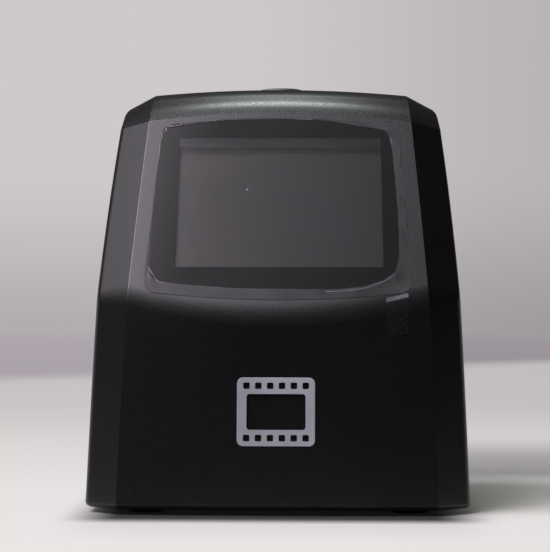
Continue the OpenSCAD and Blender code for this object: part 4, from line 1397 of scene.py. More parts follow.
# ---------------------------------------------------------------- shells
@dataclass
class Shells:
    """The main housing and the rear cover, with their openings and bosses."""

    wall: float = 2.2
    floor_z: float = 1.2
    seam_y: float = 35
    groove: Flat = (0.2, 0.35)
    pocket: tuple[Flat, ...] = ((-1.4, 0.06), (-0.12, 0.06), (0.0, 0.14), (2, 2.1))
    window: Opening = Opening(0, 30.2, 50.8, 41.4, 0.8)
    badge: tuple[float, float, float, float] = (-0.3, 24, 18.3, 16.1)
    bed: tuple[Flat, ...] = ((-0.35, 0.0), (-0.1, 0.0), (2, 0.6))
    slots: tuple[Opening, ...] = (Opening(1, 27, 58.4, 9.6, 1.5), Opening(1, 27, radius=8, steps=64))
    slot_levels: tuple[Flat, ...] = ((38, 0.0), (43.85, 0.0), (44.25, 0.12), (46.5, 2.37))
    holes: tuple[Opening, ...] = (
        Opening(0, 11.017, radius=5.95, steps=64), Opening(0, 27.062, radius=3.45, steps=48),
        Opening(0, 20.289, radius=0.95, steps=32, spread=0.5),
        *(Opening(x, 12.017, 8.5, 4.9, 2.44, 10) for x in (-24, -13.2, 13.2, 24)))
    hole_levels: tuple[Flat, ...] = ((-6, 0.0), (-0.28, 0.0), (-0.12, 0.06), (1.2, 1.38))
    ports: tuple[Opening, ...] = (
        Opening(2.75, 11.15, 8.5, 4.7, 0.8), Opening(-20.007, 10.65, 26.6, 3.5, 0.6),
        Opening(16.007, 12.4, radius=3.3, steps=48))
    port_levels: tuple[Flat, ...] = ((-5, 0.0), (-0.35, 0.0), (-0.1, 0.08), (2, 2.2))
    post_z: Flat = (3.25, 18.25)
    base_posts: tuple[float, tuple[float, ...], float] = (40.077, (-22, 20), 3.4)
    screen_posts: tuple[float, tuple[float, ...], float, Flat] = (19, (28.7 - 24.3, 28.7 + 24.3), 2.2,
                                                                  (-5.3, -1.9))
    cover_post: tuple[float, float, float] = (37.007, 37.8, 3)
    tabs: tuple[float, float, float, tuple[Flat, ...]] = (24, 2.6, 35.2, ((44, 41.6), (82, 40.2)))

    def build(self) -> None:
        """Makes both shells and dresses them."""
        whole = OUT.solid("whole", 0, self.floor_z)
        combine(whole, OUT.solid("hollow", self.wall, self.floor_z - 5))
        cover = linked("cover", whole.data.copy())
        self.housing(whole)
        self.cover(cover)

    def halve(self, shell: Object, y0: float, y1: float, seam: Flat) -> None:
        """Cuts one half off the body and its side of the groove along the seam."""
        combine(shell, self.block(y0, y1))
        combine(shell, combine(self.block(*seam), OUT.solid("inset", self.groove[1], self.floor_z - 4)))

    def block(self, y0: float, y1: float) -> Object:
        """Returns a closed box between two depths, larger than the body."""
        return prism("block", upright, [(-60, y0), (60, y0), (60, y1), (-60, y1)], (-5, 120))

    def housing(self, shell: Object) -> None:
        """Cuts the main housing's openings and dresses it.

        Args:
            shell: The whole hollow body.
        """
        self.halve(shell, self.seam_y, 60, (self.seam_y - self.groove[0], self.seam_y + 1))
        x0, s0, w, h = self.badge
        combine(shell, stack("bed", OUT.on_face, [(n, moved(round_rect(w + g, h + g, 1.5), x0, s0))
                                                  for n, g in self.bed]))
        combine(shell, self.posts(), "UNION")
        combine(shell, stack("pocket", OUT.on_screen, [(n, PANE.loop(g)) for n, g in self.pocket]))
        combine(shell, prism("opening", OUT.on_screen, self.window.loop(0), (-3.6, -1)))
        for side in (-1, 1):
            for slot in self.slots:
                combine(shell, slot.cutter("slot", partial(facing_side, side), 0, self.slot_levels))
        holes = [hole.cutter("hole", OUT.on_top, OUT.crown(hole.x), self.hole_levels) for hole in self.holes]
        combine(shell, join("holes", holes))
        smooth(closed(shell), 30, weighted=True)
        shell.name = "housing_shell"
        finish_piece(shell, Body.HOUSING, "black_grain", GRAIN, "main_housing")

    def posts(self) -> Object:
        """Returns the housing's bosses for the base plate and the display.

        Returns:
            The bosses as one mesh.
        """
        x0, ys, r = self.base_posts
        out = [prism("post", upright, moved(ring_of(r, 24), s * x0, y), self.post_z) for s in (-1, 1)
               for y in ys]
        x0, ups, r, levels = self.screen_posts
        out += [prism("post", OUT.on_screen, moved(ring_of(r, 24), s * x0, up), levels) for s in (-1, 1)
                for up in ups]
        return join("posts", out)

    def cover(self, shell: Object) -> None:
        """Cuts the rear cover's openings and dresses it.

        Args:
            shell: The whole hollow body.
        """
        self.halve(shell, -60, self.seam_y, (self.seam_y - 1, self.seam_y + self.groove[0]))
        combine(shell, self.cover_posts(), "UNION")
        ports = [port.cutter("port", facing_back, OUT.rear_y(port.y), self.port_levels)
                 for port in self.ports]
        combine(shell, join("ports", ports))
        smooth(shell, 30, weighted=True)
        shell.name = "rear_shell"
        finish_piece(shell, Body.HOUSING, "black_grain", GRAIN, "rear_cover")

    def cover_posts(self) -> Object:
        """Returns the cover's bosses and the tabs that hold it in the housing.

        Returns:
            The bosses and tabs as one mesh.
        """
        x0, y0, r = self.cover_post
        tab_x, tab_r, front, tabs = self.tabs
        out = []
        for s in (-1, 1):
            out.append(prism("post", upright, moved(ring_of(r, 24), s * x0, y0), self.post_z))
            out += [prism("post", facing_back, moved(ring_of(tab_r, 24), s * tab_x, z), (front, back))
                    for z, back in tabs]
        return join("posts", out)


# ---------------------------------------------------------------- flat plates and repeated details
def toward(p: Flat, middle: Flat, d: float) -> Flat:
    """Returns p moved by d towards a point."""
    v = Vector((middle[0] - p[0], middle[1] - p[1])).normalized() * d
    return (p[0] + v.x, p[1] + v.y)


def filled(loop: list[Flat], fixed: list[Vector], grid: float) -> list[Vector]:
    """Returns points in rows inside a loop, clear of those that are fixed.

    Args:
        loop: Corners of the loop.
        fixed: Points that the new ones keep away from.
        grid: Distance between the points.

    Returns:
        The new points.
    """
    x0, y0 = (min(p[k] for p in loop) for k in (0, 1))
    columns, rows = (int((max(p[k] for p in loop) - low) / grid) for k, low in ((0, x0), (1, y0)))
    out = []
    for i in range(1, columns):
        for j in range(1, rows):
            p = (x0 + grid * (i + 0.5 * (j % 2)), y0 + grid * j)
            if inside(p, loop) and min((Vector(p) - q).length for q in fixed) > grid * 0.45:
                out.append(Vector(p))
    return out


def plate(name: str, outer: list[Flat], zone: list[Flat], lift: Callable[[float, float, float | None], Point],
          low: float, finishes: tuple[Finish, Finish], grid: float = 0.0, edge: float = 0.0,
          under: bool = False) -> Object:
    """Makes a closed thin plate whose top has a second zone inside a loop.

    Args:
        name: Name of the object.
        outer: Outline of the plate.
        zone: Loop of the second zone.
        lift: Function that turns x, s and a level into a point; level None is the plate's top.
        low: Level of the underside.
        finishes: Finish outside the loop and finish inside it.
        grid: Distance of extra points in the top, 0 for none.
        edge: Width of the bevel around the top.
        under: Whether the whole underside has the second finish.

    Returns:
        The plate's closed mesh with its two materials.
    """
    middle = (sum(p[0] for p in outer) / len(outer), sum(p[1] for p in outer) / len(outer))
    top = [toward(p, middle, edge) for p in outer]
    points = [Vector(p) for p in top + zone]
    if grid:
        points += filled(top, points, grid)
    a, b = len(top), len(zone)
    edges = [(a + i, a + (i + 1) % b) for i in range(b)]
    flat, _, faces, *_ = delaunay_2d_cdt(points, edges, [list(range(a))], 1, 1e-6)
    count = len(flat)
    verts = [lift(p.x, p.y, level) for level in (None, low) for p in flat]
    polygons = [list(f) for f in faces] + [[v + count for v in f][::-1] for f in faces]
    second = [inside((sum(flat[v].x for v in f) / len(f), sum(flat[v].y for v in f) / len(f)), zone)
              for f in faces]
    second += [under or flag for flag in second]
    steps = ((None, edge, 0.0), (None, 0.0, edge), (low, 0.0, 0.0), (low, edge, 0.0)) if edge else \
        ((None, 0.0, 0.0), (low, 0.0, 0.0))
    start = len(verts)
    for level, d, drop in steps:
        for q in (toward(p, middle, d) for p in outer):
            point = lift(*q, level)
            if drop:
                deep = lift(*q, low)
                t = drop / max((Vector(point) - Vector(deep)).length, 1e-6)
                point = tuple(share(u, v, t) for u, v in zip(point, deep))
            verts.append(point)
    for k in range(start, start + (len(steps) - 1) * a, a):
        polygons += [[k + i, k + a + i, k + a + (i + 1) % a, k + (i + 1) % a] for i in range(a)]
    second += [False] * (len(polygons) - len(second))
    return outward(two_tone(new_object(name, verts, polygons), finishes, second))


@dataclass
class RowOfCopies:
    """Copies of one small mesh in a straight row, made by Geometry Nodes."""

    name: str
    count: int
    start: Point
    step: Point

    def build(self, source: Object, finish: Finish) -> Object:
        """Makes the row as a plain mesh and removes the source.

        Args:
            source: Small mesh about the origin.
            finish: Finish of the copies.

        Returns:
            The row.
        """
        recipe = Recipe(self.name, {
            "Copy": ("Object", source), "Count": ("Int", self.count),
            "Start": ("Vector", [c * MM for c in self.start]),
            "Step": ("Vector", [c * MM for c in self.step]), "Finish": ("Material", finish.material())})
        given = recipe.given
        line = recipe.add("MeshLine", {"Count": given["Count"], "Start Location": given["Start"],
                                       "Offset": given["Step"]})
        copy = recipe.add("ObjectInfo", {"Object": given["Copy"]}, "Geometry")
        spread = recipe.add("InstanceOnPoints", {"Points": line, "Instance": copy})
        row = recipe.run(new_object(self.name, [(0, 0, 0)], []), spread)
        bpy.data.objects.remove(source, do_unlink=True)
        return row


@dataclass
class Ridge:
    """A fine round ridge that follows a path, made by Geometry Nodes."""

    name: str
    path: list[Point]
    width: float
    steps: int = 28
    sides: int = 8

    def build(self, finish: Finish) -> Object:
        """Makes the ridge as a plain mesh.

        Args:
            finish: Finish of the ridge.

        Returns:
            The ridge.
        """
        recipe = Recipe(self.name, {"Width": ("Float", self.width / 2 * MM), "Steps": ("Int", self.steps),
                                    "Finish": ("Material", finish.material())})
        given = recipe.given
        spline = recipe.add("CurveSplineType",
                            {"Curve": recipe.add("MeshToCurve", {"Mesh": given["Geometry"]})},
                            spline_type="CATMULL_ROM")
        sample = recipe.add("ResampleCurve", {"Curve": spline, "Count": given["Steps"]})
        circle = recipe.add("CurvePrimitiveCircle", {"Radius": given["Width"], "Resolution": self.sides})
        sweep = recipe.add("CurveToMesh", {"Curve": sample, "Profile Curve": circle, "Fill Caps": True})
        edges = tuple((i, i + 1) for i in range(len(self.path) - 1))
        return outward(recipe.run(new_object(self.name, self.path, [], edges), sweep))


def softened(node: str, width: float, segments: int = 2) -> Object:
    """Returns a copy of a solid with its doubles merged and its edges softened.

    Args:
        node: Name of the solid.
        width: Width of the bevel in millimetres.
        segments: Segments of the bevel.

    Returns:
        The new object.
    """
    obj = linked(node + "_soft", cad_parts[node].data.copy())
    with editing(obj) as work:
        bmesh.ops.remove_doubles(work, verts=work.verts, dist=2e-6)
        bmesh.ops.dissolve_limit(work, angle_limit=math.radians(1), verts=work.verts, edges=work.edges)
    modifier = obj.modifiers.new("bevel", "BEVEL")
    modifier.width = width * MM
    modifier.segments = segments
    modifier.limit_method = "ANGLE"
    modifier.angle_limit = math.radians(40)
    modifier.harden_normals = False
    return smooth(settle(obj), 35, weighted=True)


# ---------------------------------------------------------------- screen
@dataclass
class PullTab:
    """The film's pull tab: a fold at the film's edge with a painted highlight, then a strip down over the
    bend.
    """

    x: Flat = (25.3, 30.5)
    low: float = 42
    steps: int = 12
    back: Point = (0, 0.1, -0.04)

    def face(self, x: float, z: float, n: float) -> Point:
        """Returns the point of the lower front at x and a height, n out of it."""
        c = x / OUT.edge_x(z)
        return (x, OUT.front_y + z * tan_of(OUT.edge_lean) - OUT.front_bulge(z) * (1 - c * c) - n, z)

    def foot(self, x: float) -> float:
        """Returns the height of the tab's round foot."""
        x0, x1 = self.x
        return self.low + 4.0 * max(0.0, abs((x - (x0 + x1) / 2) / (x1 - x0)) - 0.18) ** 2

    def path(self, x: float) -> list[Point]:
        """Returns the tab's front at x, from the film's edge down to the foot.

        Args:
            x: Place across the tab.

        Returns:
            The points of the path.
        """
        x0, x1 = self.x
        t = (x - x0) / (x1 - x0)
        top, start = share(1.45, 2.9, t), OUT.bend_z - 2.6
        path = [OUT.on_screen(x, s, n)
                for s, n in ((top + 1.6, 0.12), (top, 0.2), (top - 0.9, 0.72), (top - 1.5, 0.8),
                                                    (share(0.1, 1.0, t), 0.62))]
        a, b = Vector(path[-1]), Vector(self.face(x, start, 0.65))
        path += [tuple(a.lerp(b, k)) for k in (0.35, 0.7)]
        foot = self.foot(x)
        return path + [self.face(x, share(start, foot, k), share(0.65, 0.45, k))
                       for k in (0, 0.3, 0.6, 0.85, 1)]

    def build(self) -> Object:
        """Makes the tab with the painted highlight on its fold.

        Returns:
            The tab's closed mesh.
        """
        rows = [self.path(share(*self.x, i / self.steps)) for i in range(self.steps + 1)]
        front = [p for row in rows for p in row]
        back = [tuple(Vector(p) + Vector(self.back)) for p in front]
        count, half, n = len(rows[0]), len(front), self.steps

        def at(i: int, j: int, k: int = 0) -> int:
            """Returns the vertex in column i and row j, on the front or, where k is 1, on the back."""
            return k * half + i * count + j

        faces, bright = [], []
        for i in range(n):
            for j in range(count - 1):
                faces.append([at(i, j), at(i + 1, j), at(i + 1, j + 1), at(i, j + 1)])
                faces.append([at(i, j, 1), at(i, j + 1, 1), at(i + 1, j + 1, 1), at(i + 1, j, 1)])
                # the fold's two rows take the pale coat, a painted highlight
                bright += [1 <= j <= 2] * 2
        for i in range(n):
            faces += [[at(i, 0), at(i, 0, 1), at(i + 1, 0, 1), at(i + 1, 0)],
                      [at(i, count - 1), at(i + 1, count - 1), at(i + 1, count - 1, 1), at(i, count - 1, 1)]]
        for j in range(count - 1):
            faces += [[at(0, j), at(0, j + 1), at(0, j + 1, 1), at(0, j, 1)],
                      [at(n, j), at(n, j, 1), at(n, j + 1, 1), at(n, j + 1)]]
        tab = new_object("tab", front + back, faces)
        return smooth(outward(two_tone(tab, (FILM_LOOSE, FILM_TAB_GLINT), bright)), 50)


@dataclass
class Screen:
    """The pane over the display, the polarising sheet and the clear film."""

    window: Opening = Opening(0.1, 28.9, 49.5, 37.6, 0.35, 3)
    pane_t: float = 1.2
    mask: Opening = Opening(0.1, 29.8, 50.2, 39.8, 0.6)
    mask_n: Flat = (-1.34, -1.21)
    sheet: tuple[float, float, float, float] = (0.1, 27.9, 51.2, 37.8)
    sheet_n: Flat = (-1.6, -1.4)
    band: float = 2.5
    foam: tuple[Opening, Opening] = (Opening(0.1, 28.7, 59.2, 41.6, 0.6),
                                     Opening(0.1, 29.45, 51.6, 39.7, 0.6))
    foam_n: Flat = (-2.7, -2.2)
    speck: Flat = (-7.8, 32.3)
    curls: tuple[tuple[float, ...], ...] = (
        (-26.2, 51.9, 1.2, 0.28, 0.3), (-28.6, 50.2, 0.4, 0.5, 0.3), (-14.5, 53.2, 1.6, 0.25, 0.2),
        (-29.6, 7.4, 0.8, 0.8, 0.2), (27.6, 7.6, 1.2, 0.5, 0.22))
    ridges: tuple[tuple[float, tuple[Flat, ...]], ...] = (
        (0.2, ((-27.5, 51.0), (-26.3, 51.4), (-25.2, 51.5), (-24.3, 51.8))),
        (0.14, ((-28.6, 49.6), (-28.1, 50.1), (-28.4, 50.7), (-28.9, 50.5))),
        (0.14, ((-16.4, 52.9), (-15.3, 53.3), (-14.4, 53.1), (-13.2, 53.4))),
        (0.1, ((3.5, 53.6), (5.5, 53.5), (8.0, 53.35))),
        (0.12, ((-30.7, 9.9), (-29.8, 8.2), (-28.5, 6.1), (-27.0, 5.6))),
        (0.1, ((11.0, 3.2), (16.0, 3.5), (20.6, 4.3), (24.9, 6.1), (27.3, 7.9))))
    stuck: tuple[Flat, ...] = (
        (-28.9, 49.2), (-28.0, 50.8), (-26.4, 51.1), (-24.0, 51.7), (-21.5, 52.1), (-18.0, 52.7),
        (-12.5, 53.2), (-6.3, 53.5), (0.0, 53.6), (6.2, 53.4), (12.4, 53.0), (14.0, 52.7), (16.4, 52.1),
        (19.1, 51.5), (21.9, 51.1), (25.0, 50.4), (26.3, 49.7), (27.0, 48.2), (27.7, 43.9), (28.2, 35.3),
        (28.6, 27.0), (28.7, 19.2), (28.7, 13.3), (27.8, 9.4), (27.1, 8.2), (24.8, 6.6), (20.4, 4.8),
        (15.5, 4.1), (12.2, 3.9), (5.2, 3.9), (0.5, 4.0), (-6.6, 4.0), (-12.3, 4.3), (-18.3, 4.8),
        (-22.8, 5.2), (-26.5, 5.7), (-27.8, 5.9), (-28.4, 6.2), (-30.7, 10.0), (-30.6, 19.1), (-30.2, 26.9),
        (-29.9, 35.2), (-29.3, 44.1))

    def build(self) -> None:
        """Makes the pieces of the screen."""
        self.pane()
        self.polariser()
        self.film()

    def on_pane(self, x: float, s: float, level: float | None) -> Point:
        """Returns a point of the pane; level None is its face."""
        return OUT.on_screen(x, s, 0.0 if level is None else level)

    def pane(self) -> None:
        """Makes the pane, a black printed border round the clear window, and the mask behind it."""
        pane = plate("screen_pane", PANE.loop(0), self.window.loop(0), self.on_pane, -self.pane_t,
                     (PANE_RING, PANE_CLEAR), edge=0.1, under=True)
        finish_piece(smooth(pane, 30), Body.HOUSING, "screen_pane", None, "screen_lens")
        sheet = prism("mask", OUT.on_screen, PANE.loop(-0.2), self.mask_n)
        combine(sheet, prism("hole", OUT.on_screen, self.mask.loop(0), (-2, -1)))
        finish_piece(sheet, Body.HOUSING, "black_ink", INK, "lens_mask")

    def polariser(self) -> None:
        """Makes the display's polarising sheet and dark border, and the foam round them."""
        x0, s0, w, h = self.sheet
        low, high = self.sheet_n
        levels = ((low, 0.0), (high - 0.03, 0.0), (high, 0.06))
        sheet = stack("polariser", OUT.on_screen, [(n, moved(round_rect(w - c, h - c, 0.4, 3), x0, s0))
                                                   for n, c in levels])
        finish_piece(sheet, Body.HOUSING, "display_glass", SHEET)
        # the border strip's pale grey is painted light over the shaded top of the display
        strip = moved(round_rect(w, self.band, 0.3, 3), x0, s0 + h / 2 + self.band / 2)
        border = prism("display_border", OUT.on_screen, strip, (low - 0.06, high - 0.08))
        finish_piece(border, Body.HOUSING, "display_glass", DISPLAY_LIGHTENED)
        outer, inner = self.foam
        foam = prism("foam", OUT.on_screen, outer.loop(0), self.foam_n)
        combine(foam, prism("hole", OUT.on_screen, inner.loop(0), (-3, -2)))
        finish_piece(foam, Body.HOUSING, "gasket_foam", FOAM, "screen_gasket")

    def on_film(self, x: float, s: float, level: float | None) -> Point:
        """Returns a point of the film; level None is its face, stuck flat inside and wavy round the border.

        Args:
            x: Place across the screen.
            s: Place up the screen.
            level: Distance from the screen's face, or None.

        Returns:
            The point.
        """
        if level is not None:
            return OUT.on_screen(x, s, level)
        if inside((x, s), self.stuck):
            return OUT.on_screen(x, s, 0.14)
        gap = min((Vector((x, s)) - Vector(p)).length for p in self.stuck)
        ripple = 0.5 + 0.5 * math.sin(1.1 * x + 0.4 * s) * math.sin(0.7 * s - 0.35 * x)
        curls = sum(h * math.exp(-((x - a) / wx) ** 2 - ((s - b) / ws) ** 2)
                    for a, b, wx, ws, h in self.curls)
        return OUT.on_screen(x, s, 0.14 + (min(gap / 2.5, 1.0) * 0.025 * ripple + curls))

    def film(self) -> None:
        """Makes the clear film with its ridges, painted pale as highlights, its pull tab and one dust speck.
        """
        film = plate("film_sheet", PANE.loop(0.2, 40), list(self.stuck), self.on_film, 0.03,
                     (FILM_EDGE, FILM),
                     grid=0.9)
        smooth(film, 60)
        speck = stack("speck", OUT.on_screen, [(n, moved(ring_of(r, 12), *self.speck))
                                               for r, n in ((0.17, 0.1), (0.17, 0.17), (0.08, 0.22))])
        # the ridges' pale grey is a painted highlight where the film's edge curls
        ridges = [Ridge("film_ridge_%d" % i, [OUT.on_screen(x, s, 0.15) for x, s in path],
                        width).build(FILM_RIDGE_GLINT)
                  for i, (width, path) in enumerate(self.ridges)]
        film = join("screen_film_sheet", [film, PullTab().build(), wear(speck, SPECK)] + ridges)
        finish_piece(film, Body.HOUSING, "clear_film", None, "screen_film")


# ---------------------------------------------------------------- badge
@dataclass
class Badge:
    """The plain film-frame badge on the lower front."""

    x: float = -0.3
    s: float = 24
    size: tuple[float, float, float] = (18.1, 15.9, 1.4)
    levels: Flat = (-0.35, 0.08)
    window: tuple[float, float, float] = (13.7, 8.3, 0.7)
    hole: tuple[float, float, float] = (1.5, 1.5, 0.3)
    holes: int = 6
    pitch: float = 2.75
    row_s: float = 6.05

    def about(self, x: float, s: float, n: float) -> Point:
        """Returns a point of the lower front, measured from the middle of its foot."""
        return tuple(c - d for c, d in zip(OUT.on_face(x, s, n), OUT.on_face(0, 0, 0)))

    def build(self) -> None:
        """Makes the badge with its sprocket windows."""
        w, h, r = self.size
        low, high = self.levels
        badge = stack("badge", OUT.on_face,
                      [(n, moved(round_rect(w - 2 * c, h - 2 * c, r - c), self.x, self.s))
                                             for n, c in ((low, 0.0), (high - 0.07, 0.0), (high, 0.07))])
        for side in (-1, 1):
            cut = prism("cut", self.about, round_rect(*self.hole, 3), (-1, 1))
            start = OUT.on_face(self.x - (self.holes - 1) / 2 * self.pitch, self.s + side * self.row_s, 0)
            combine(badge,
                    RowOfCopies("sprocket_windows", self.holes, start, (self.pitch, 0, 0)).build(cut, BADGE))
        combine(badge, prism("cut", OUT.on_face, moved(round_rect(*self.window), self.x, self.s), (-1, 1)))
        smooth(badge, 35, weighted=True)
        finish_piece(badge, Body.HOUSING, "badge_ink", BADGE, "front_badge")


# ---------------------------------------------------------------- keys
def bar(x0: float, y0: float, x1: float, y1: float) -> list[Flat]:
    """Returns the loop of a straight bar between two corners."""
    return [(x0, y0), (x1, y0), (x1, y1), (x0, y1)]


def bent_bar(radius: float, width: float, start: float, end: float) -> list[Flat]:
    """Returns the loop of a curved bar about the origin.

    Args:
        radius: Radius of its middle.
        width: Width of the bar.
        start: Angle of its start in degrees.
        end: Angle of its end.

    Returns:
        The loop's points.
    """
    turn = [math.radians(share(start, end, i / 16)) for i in range(17)]
    outer, inner = radius + width / 2, radius - width / 2
    return [(outer * math.cos(a), outer * math.sin(a)) for a in turn] + \
        [(inner * math.cos(a), inner * math.sin(a)) for a in turn[::-1]]


def arrow_head(angle: float) -> list[Flat]:
    """Returns the arrow head at the end of a curved bar, at an angle in degrees.

    Args:
        angle: Angle of the bar's end.

    Returns:
        The head's corners.
    """
    a = math.radians(angle)
    c = Vector((0.8 * math.cos(a), 0.8 * math.sin(a)))
    out, ahead = Vector((math.cos(a), math.sin(a))), Vector((-math.sin(a), math.cos(a)))
    return [tuple(c + out * 0.38), tuple(c + ahead * 0.62), tuple(c - out * 0.38)]


MARKS: dict[Symbol, list[list[Flat]]] = {
    Symbol.NONE: [],
    Symbol.MINUS: [bar(-0.85, -0.18, 0.85, 0.18)],
    Symbol.PLUS: [[(-0.85, -0.18), (-0.18, -0.18), (-0.18, -0.85), (0.18, -0.85), (0.18, -0.18),
                   (0.85, -0.18), (0.85, 0.18), (0.18, 0.18), (0.18, 0.85), (-0.18, 0.85), (-0.18, 0.18),
                   (-0.85, 0.18)]],
    Symbol.HOUSE: [[(-0.62, -0.75), (-0.2, -0.75), (-0.2, -0.2), (0.2, -0.2), (0.2, -0.75), (0.62, -0.75),
                    (0.62, 0.05), (0.9, 0.05), (0, 0.85), (-0.9, 0.05), (-0.62, 0.05)]],
    Symbol.TURN: [bent_bar(0.8, 0.3, 20, 150), bent_bar(0.8, 0.3, 200, 330), arrow_head(150),
                  arrow_head(330)],
    Symbol.POWER: [bent_bar(1.2, 0.34, 125, 415), bar(-0.17, 0.2, 0.17, 1.45)]}


@dataclass
class Key:
    """One push button: cap, flange, stem and a plain mark."""

    node: str
    body: Body
    x: float
    y: float
    outline: Flat
    proud: float
    symbol: Symbol = Symbol.NONE
    dish: float = 0.12
    skirt: float = 2.7
    flange: Flat = (0.95, 1.1)
    stem: Flat = (1.1, -5.7)

    def __post_init__(self) -> None:
        """Works out the levels of the cap and of its flange."""
        crown = OUT.crown(self.x)
        self.low, self.high = crown - self.skirt, crown + self.proud
        self.flange_n = self.low - self.flange[0]

    def at(self, x: float, y: float, n: float) -> Point:
        """Returns a point about the key's middle, n over the top's edges."""
        return OUT.on_top(self.x + x, self.y + y, n)

    def ring(self, g: float) -> list[Flat]:
        """Returns the cap's outline grown by g.

        Args:
            g: Growth on every side.

        Returns:
            The outline's points.
        """
        w, h = self.outline
        if w == h:
            return ring_of(w / 2 + g, 48)
        return round_rect(w + 2 * g, h + 2 * g, h / 2 + g - 0.01, 10)

    def build(self) -> None:
        """Makes the key and its mark."""
        high, level = self.high, self.high - self.dish
        cap = stack("cap", self.at, [(n, self.ring(g)) for n, g in (
            (self.low, 0.0), (high - 0.38, 0.0), (high - 0.2, -0.05), (high - 0.07, -0.18), (high, -0.42),
            (high - self.dish * 0.6, -1.1), (level, -1.8))])
        flange = prism("flange", self.at, self.ring(self.flange[1]), (self.flange_n, self.flange_n + 1))
        stem = prism("stem", self.at, ring_of(self.stem[0], 24), (self.stem[1], self.flange_n + 0.05))
        key = wear(smooth(join(self.node + "_cap", [cap, flange, stem])), KEY)
        marks = [wear(prism("mark", self.at, loop, (level - 0.04, level + 0.03)), MARK)
                 for loop in MARKS[self.symbol]]
        finish_piece(join(self.node + "_marked", [key] + marks), self.body, "button_black", None, self.node)


@dataclass
class CaptureButton(Key):
    """The raised round capture button with its bright rim."""

    def turned(self, profile: tuple[Flat, ...], finish: Finish) -> Object:
        """Returns a round part."""
        return smooth(wear(stack("turned", self.at, [(n, ring_of(r, 72)) for r, n in profile]), finish))

    def build(self) -> None:
        """Makes the button: bright rim, dark dished face, flange and stem."""
        r, high, flange = self.outline[0] / 2, self.high, self.flange_n
        parts = [
            self.turned(((r, self.low), (r, high - 0.5), (r - 0.08, high - 0.34), (r - 0.3, high - 0.14),
                         (r - 0.75, high - 0.02), (r - 1.1, high), (r - 1.3, high - 0.06),
                         (r - 1.4, high - 0.25)),
                        CAPTURE_RIM),
            self.turned(((r - 1.45, high - 0.6), (r - 1.45, high - 0.14), (r - 1.55, high - 0.05),
                         (r - 1.9, high - 0.03), (r - 3.2, high - 0.12), (0.6, high - 0.2)), CAPTURE),
            self.turned(((r + self.flange[1], flange), (r + self.flange[1], flange + 1)), KEY),
            self.turned((self.stem, (self.stem[0], flange + 0.05)), KEY)]
        finish_piece(join("capture_cap", parts), self.body, "button_gloss", None, self.node)


@dataclass
class Keys:
    """Every push button on the top."""

    row: float = 12.017
    small: Flat = (8, 4.4)
    proud: float = 0.45
    places: tuple[tuple[str, Body, float, Symbol], ...] = (
        ("home_button", Body.HOME, -24, Symbol.HOUSE), ("flip_button", Body.FLIP, -13.2, Symbol.TURN),
        ("minus_button", Body.MINUS, 13.2, Symbol.MINUS), ("plus_button", Body.PLUS, 24, Symbol.PLUS))

    def build(self) -> None:
        """Makes the six buttons."""
        for node, body, x, symbol in self.places:
            Key(node, body, x, self.row, self.small, self.proud, symbol).build()
        Key("power_button", Body.POWER, 0, 27.062, (6.4, 6.4), self.proud, Symbol.POWER, dish=0.2).build()
        CaptureButton("capture_button", Body.CAPTURE, 0, 11.017, (11.4, 11.4), 0.99).build()


# ---------------------------------------------------------------- tray, base and ports
@dataclass
class Tray:
    """The film tray's two halves with softened edges, and its finger ribs."""

    edge: float = 0.35
    fine_edge: float = 0.2
    rib: Point = (0.7, 18, 0.28)
    rib_start: Point = (40.8, 1, 30.99)
    rib_pitch: float = 1.8

    def build(self) -> None:
        """Makes the tray's halves and ribs."""
        finish_piece(softened("tray_base", self.edge), Body.TRAY, "tray_black", TRAY, "tray_base")
        halves = [wear(softened("tray_cover", self.fine_edge), TRAY)]
        w, h, z = self.rib
        x, y, top = self.rib_start
        for side in (-1, 1):
            rib = stack("rib", upright, [(n, round_rect(w - 2 * c, h - 2 * c, w / 2 - c - 0.01, 4))
                                         for n, c in ((0.0, 0.0), (z - 0.12, 0.0), (z, 0.12))])
            row = RowOfCopies("finger_ribs", 3, (side * x, y, top), (-side * self.rib_pitch, 0, 0))
            halves.append(row.build(rib, TRAY))
        finish_piece(join("tray_top", halves), Body.TRAY, "tray_black", None, "tray_cover")
        finish_piece(softened("tray_pins", self.fine_edge), Body.TRAY, "tray_pin", PIN, "tray_pins")


@dataclass
class Base:
    """The base plate and the rubber feet."""

    edge: float = 0.25
    foot_edge: float = 0.5

    def build(self) -> None:
        """Makes the softened base plate and feet."""
        finish_piece(softened("base_plate", self.edge), Body.HOUSING, "black_base", BASE, "base_plate")
        finish_piece(softened("rubber_feet", self.foot_edge, 3), Body.HOUSING, "foot_rubber", FOOT,
                     "rubber_feet")


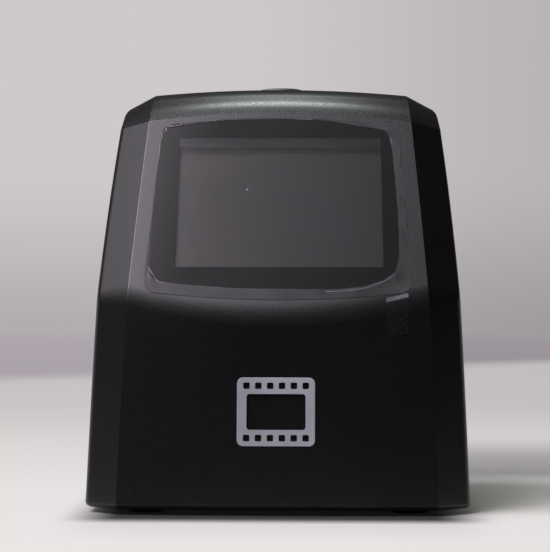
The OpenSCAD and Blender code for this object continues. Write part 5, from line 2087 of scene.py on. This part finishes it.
@dataclass
class Ports:
    """The sockets on the connector board, with their contacts."""

    board_top: float = 9.2
    usb_x: float = 2.75
    card_x: float = -20.007
    jack: Flat = (16.007, 12.45)
    collar: tuple[Flat, ...] = ((2.6, -0.12), (2.6, 0.04), (2.5, 0.08), (1.98, 0.08), (1.88, 0.02),
                                (1.88, -0.12))

    def build(self) -> None:
        """Makes the sockets' shells, contacts and the jack's ring."""
        y = OUT.rear_y(12.4) - 0.6
        self.socket("usb_socket", "usb_shell", 5, 0.4, 1.0,
                    (self.usb_x - 2, y - 5.4, self.board_top + 2.56), 3.8)
        self.socket("card_socket", "card_shell", 9, 1.1, 2.2,
                    (self.card_x - 9, y - 16, self.board_top + 0.52), 6)
        jack = wear(softened("av_jack", 0.12), INNER)
        # the ring is a closed tube: out along its outside, back along its inside
        rings = [[facing_back(*p, y + v) for p in moved(ring_of(r, 48), *self.jack)] for r, v in self.collar]
        collar = smooth(wear(loft("collar", rings, looped=True), NICKEL))
        finish_piece(join("jack_ringed", [jack, collar]), Body.HOUSING, "black_inner", None, "av_jack")

    def socket(self, node: str, name: str, count: int, width: float, pitch: float, start: Point,
               length: float) -> None:
        """Makes one socket's softened shell with a row of contacts.

        Args:
            node: Solid that it stands for.
            name: Name of the piece.
            count: Number of contacts.
            width: Width of a contact.
            pitch: Distance between contacts.
            start: Near end of the first contact.
            length: Length of a contact.
        """
        shell = wear(softened(node, 0.1), NICKEL)
        path = [(0, 0), (length * 0.55, 0), (length * 0.75, 0.3), (length * 0.9, 0.3), (length, 0.1)]
        contact = stack("contact", facing_back,
                        [(v, bar(-width / 2, z, width / 2, z + 0.14)) for v, z in path])
        row = RowOfCopies(name + "_contacts", count, start, (pitch, 0, 0)).build(contact, GOLD)
        finish_piece(join(name, [shell, row]), Body.HOUSING, "bright_steel", None, node)


# ---------------------------------------------------------------- carried-over solids
@dataclass
class Inside:
    """The finish of every solid, named as the nodes that have it."""

    finishes: tuple[tuple[Finish, str], ...] = (
        (BASE, "base_plate"), (FOOT, "rubber_feet"), (ZINC, "base_screws lcd_bracket"),
        (PANE_CLEAR, "screen_lens"), (INK, "lens_mask"), (FILM, "screen_film"), (FOAM, "screen_gasket"),
        (DISPLAY_LIGHTENED, "lcd_glass"), (WHITE, "lcd_backlight light_box"), (FLEX, "lcd_flex"),
        (BADGE, "front_badge"), (LAMP, "status_led light_glass"),
        (NICKEL, "lcd_screws button_board_screws main_board_screws io_board_screws chassis_screws"
                 " sensor_screws gate_springs usb_socket card_socket"),
        (BOARD, "button_board main_board io_board sensor_board"), (CHIP, "main_board_parts image_sensor"),
        (INNER, "button_switches av_jack chassis film_gate light_shroud lens_barrel lens_holder"),
        (CABLE, "sensor_cable button_cable io_cable led_cable"), (DIFFUSER, "diffuser"),
        (LED_BOARD, "led_board"), (LED, "backlight_leds"), (OPTIC, "lens_elements ir_filter"),
        (TRAY, "tray_base tray_cover"), (PIN, "tray_pins"),
        (CAPTURE, "capture_button"), (KEY, "home_button flip_button minus_button plus_button power_button"))

    def build(self) -> None:
        """Puts each finish on its solids."""
        for finish, nodes in self.finishes:
            for node in nodes.split():
                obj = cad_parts[node]
                if not obj.material_slots:
                    obj.data.materials.append(None)
                for slot in obj.material_slots:
                    slot.material = finish.material()
                LOG.info("dressed %s", node)


def main() -> None:
    """Builds the scene in order."""
    logging.basicConfig(level=logging.INFO, format="%(name)s: %(message)s")
    bpy.context.scene.view_settings.view_transform = "Standard"
    for part in (Studio(), Inside(), Shells(), Screen(), Badge(), Keys(), Tray(), Base(), Ports()):
        LOG.info("building %s", type(part).__name__)
        part.build()


if __name__ == "__main__":
    main()
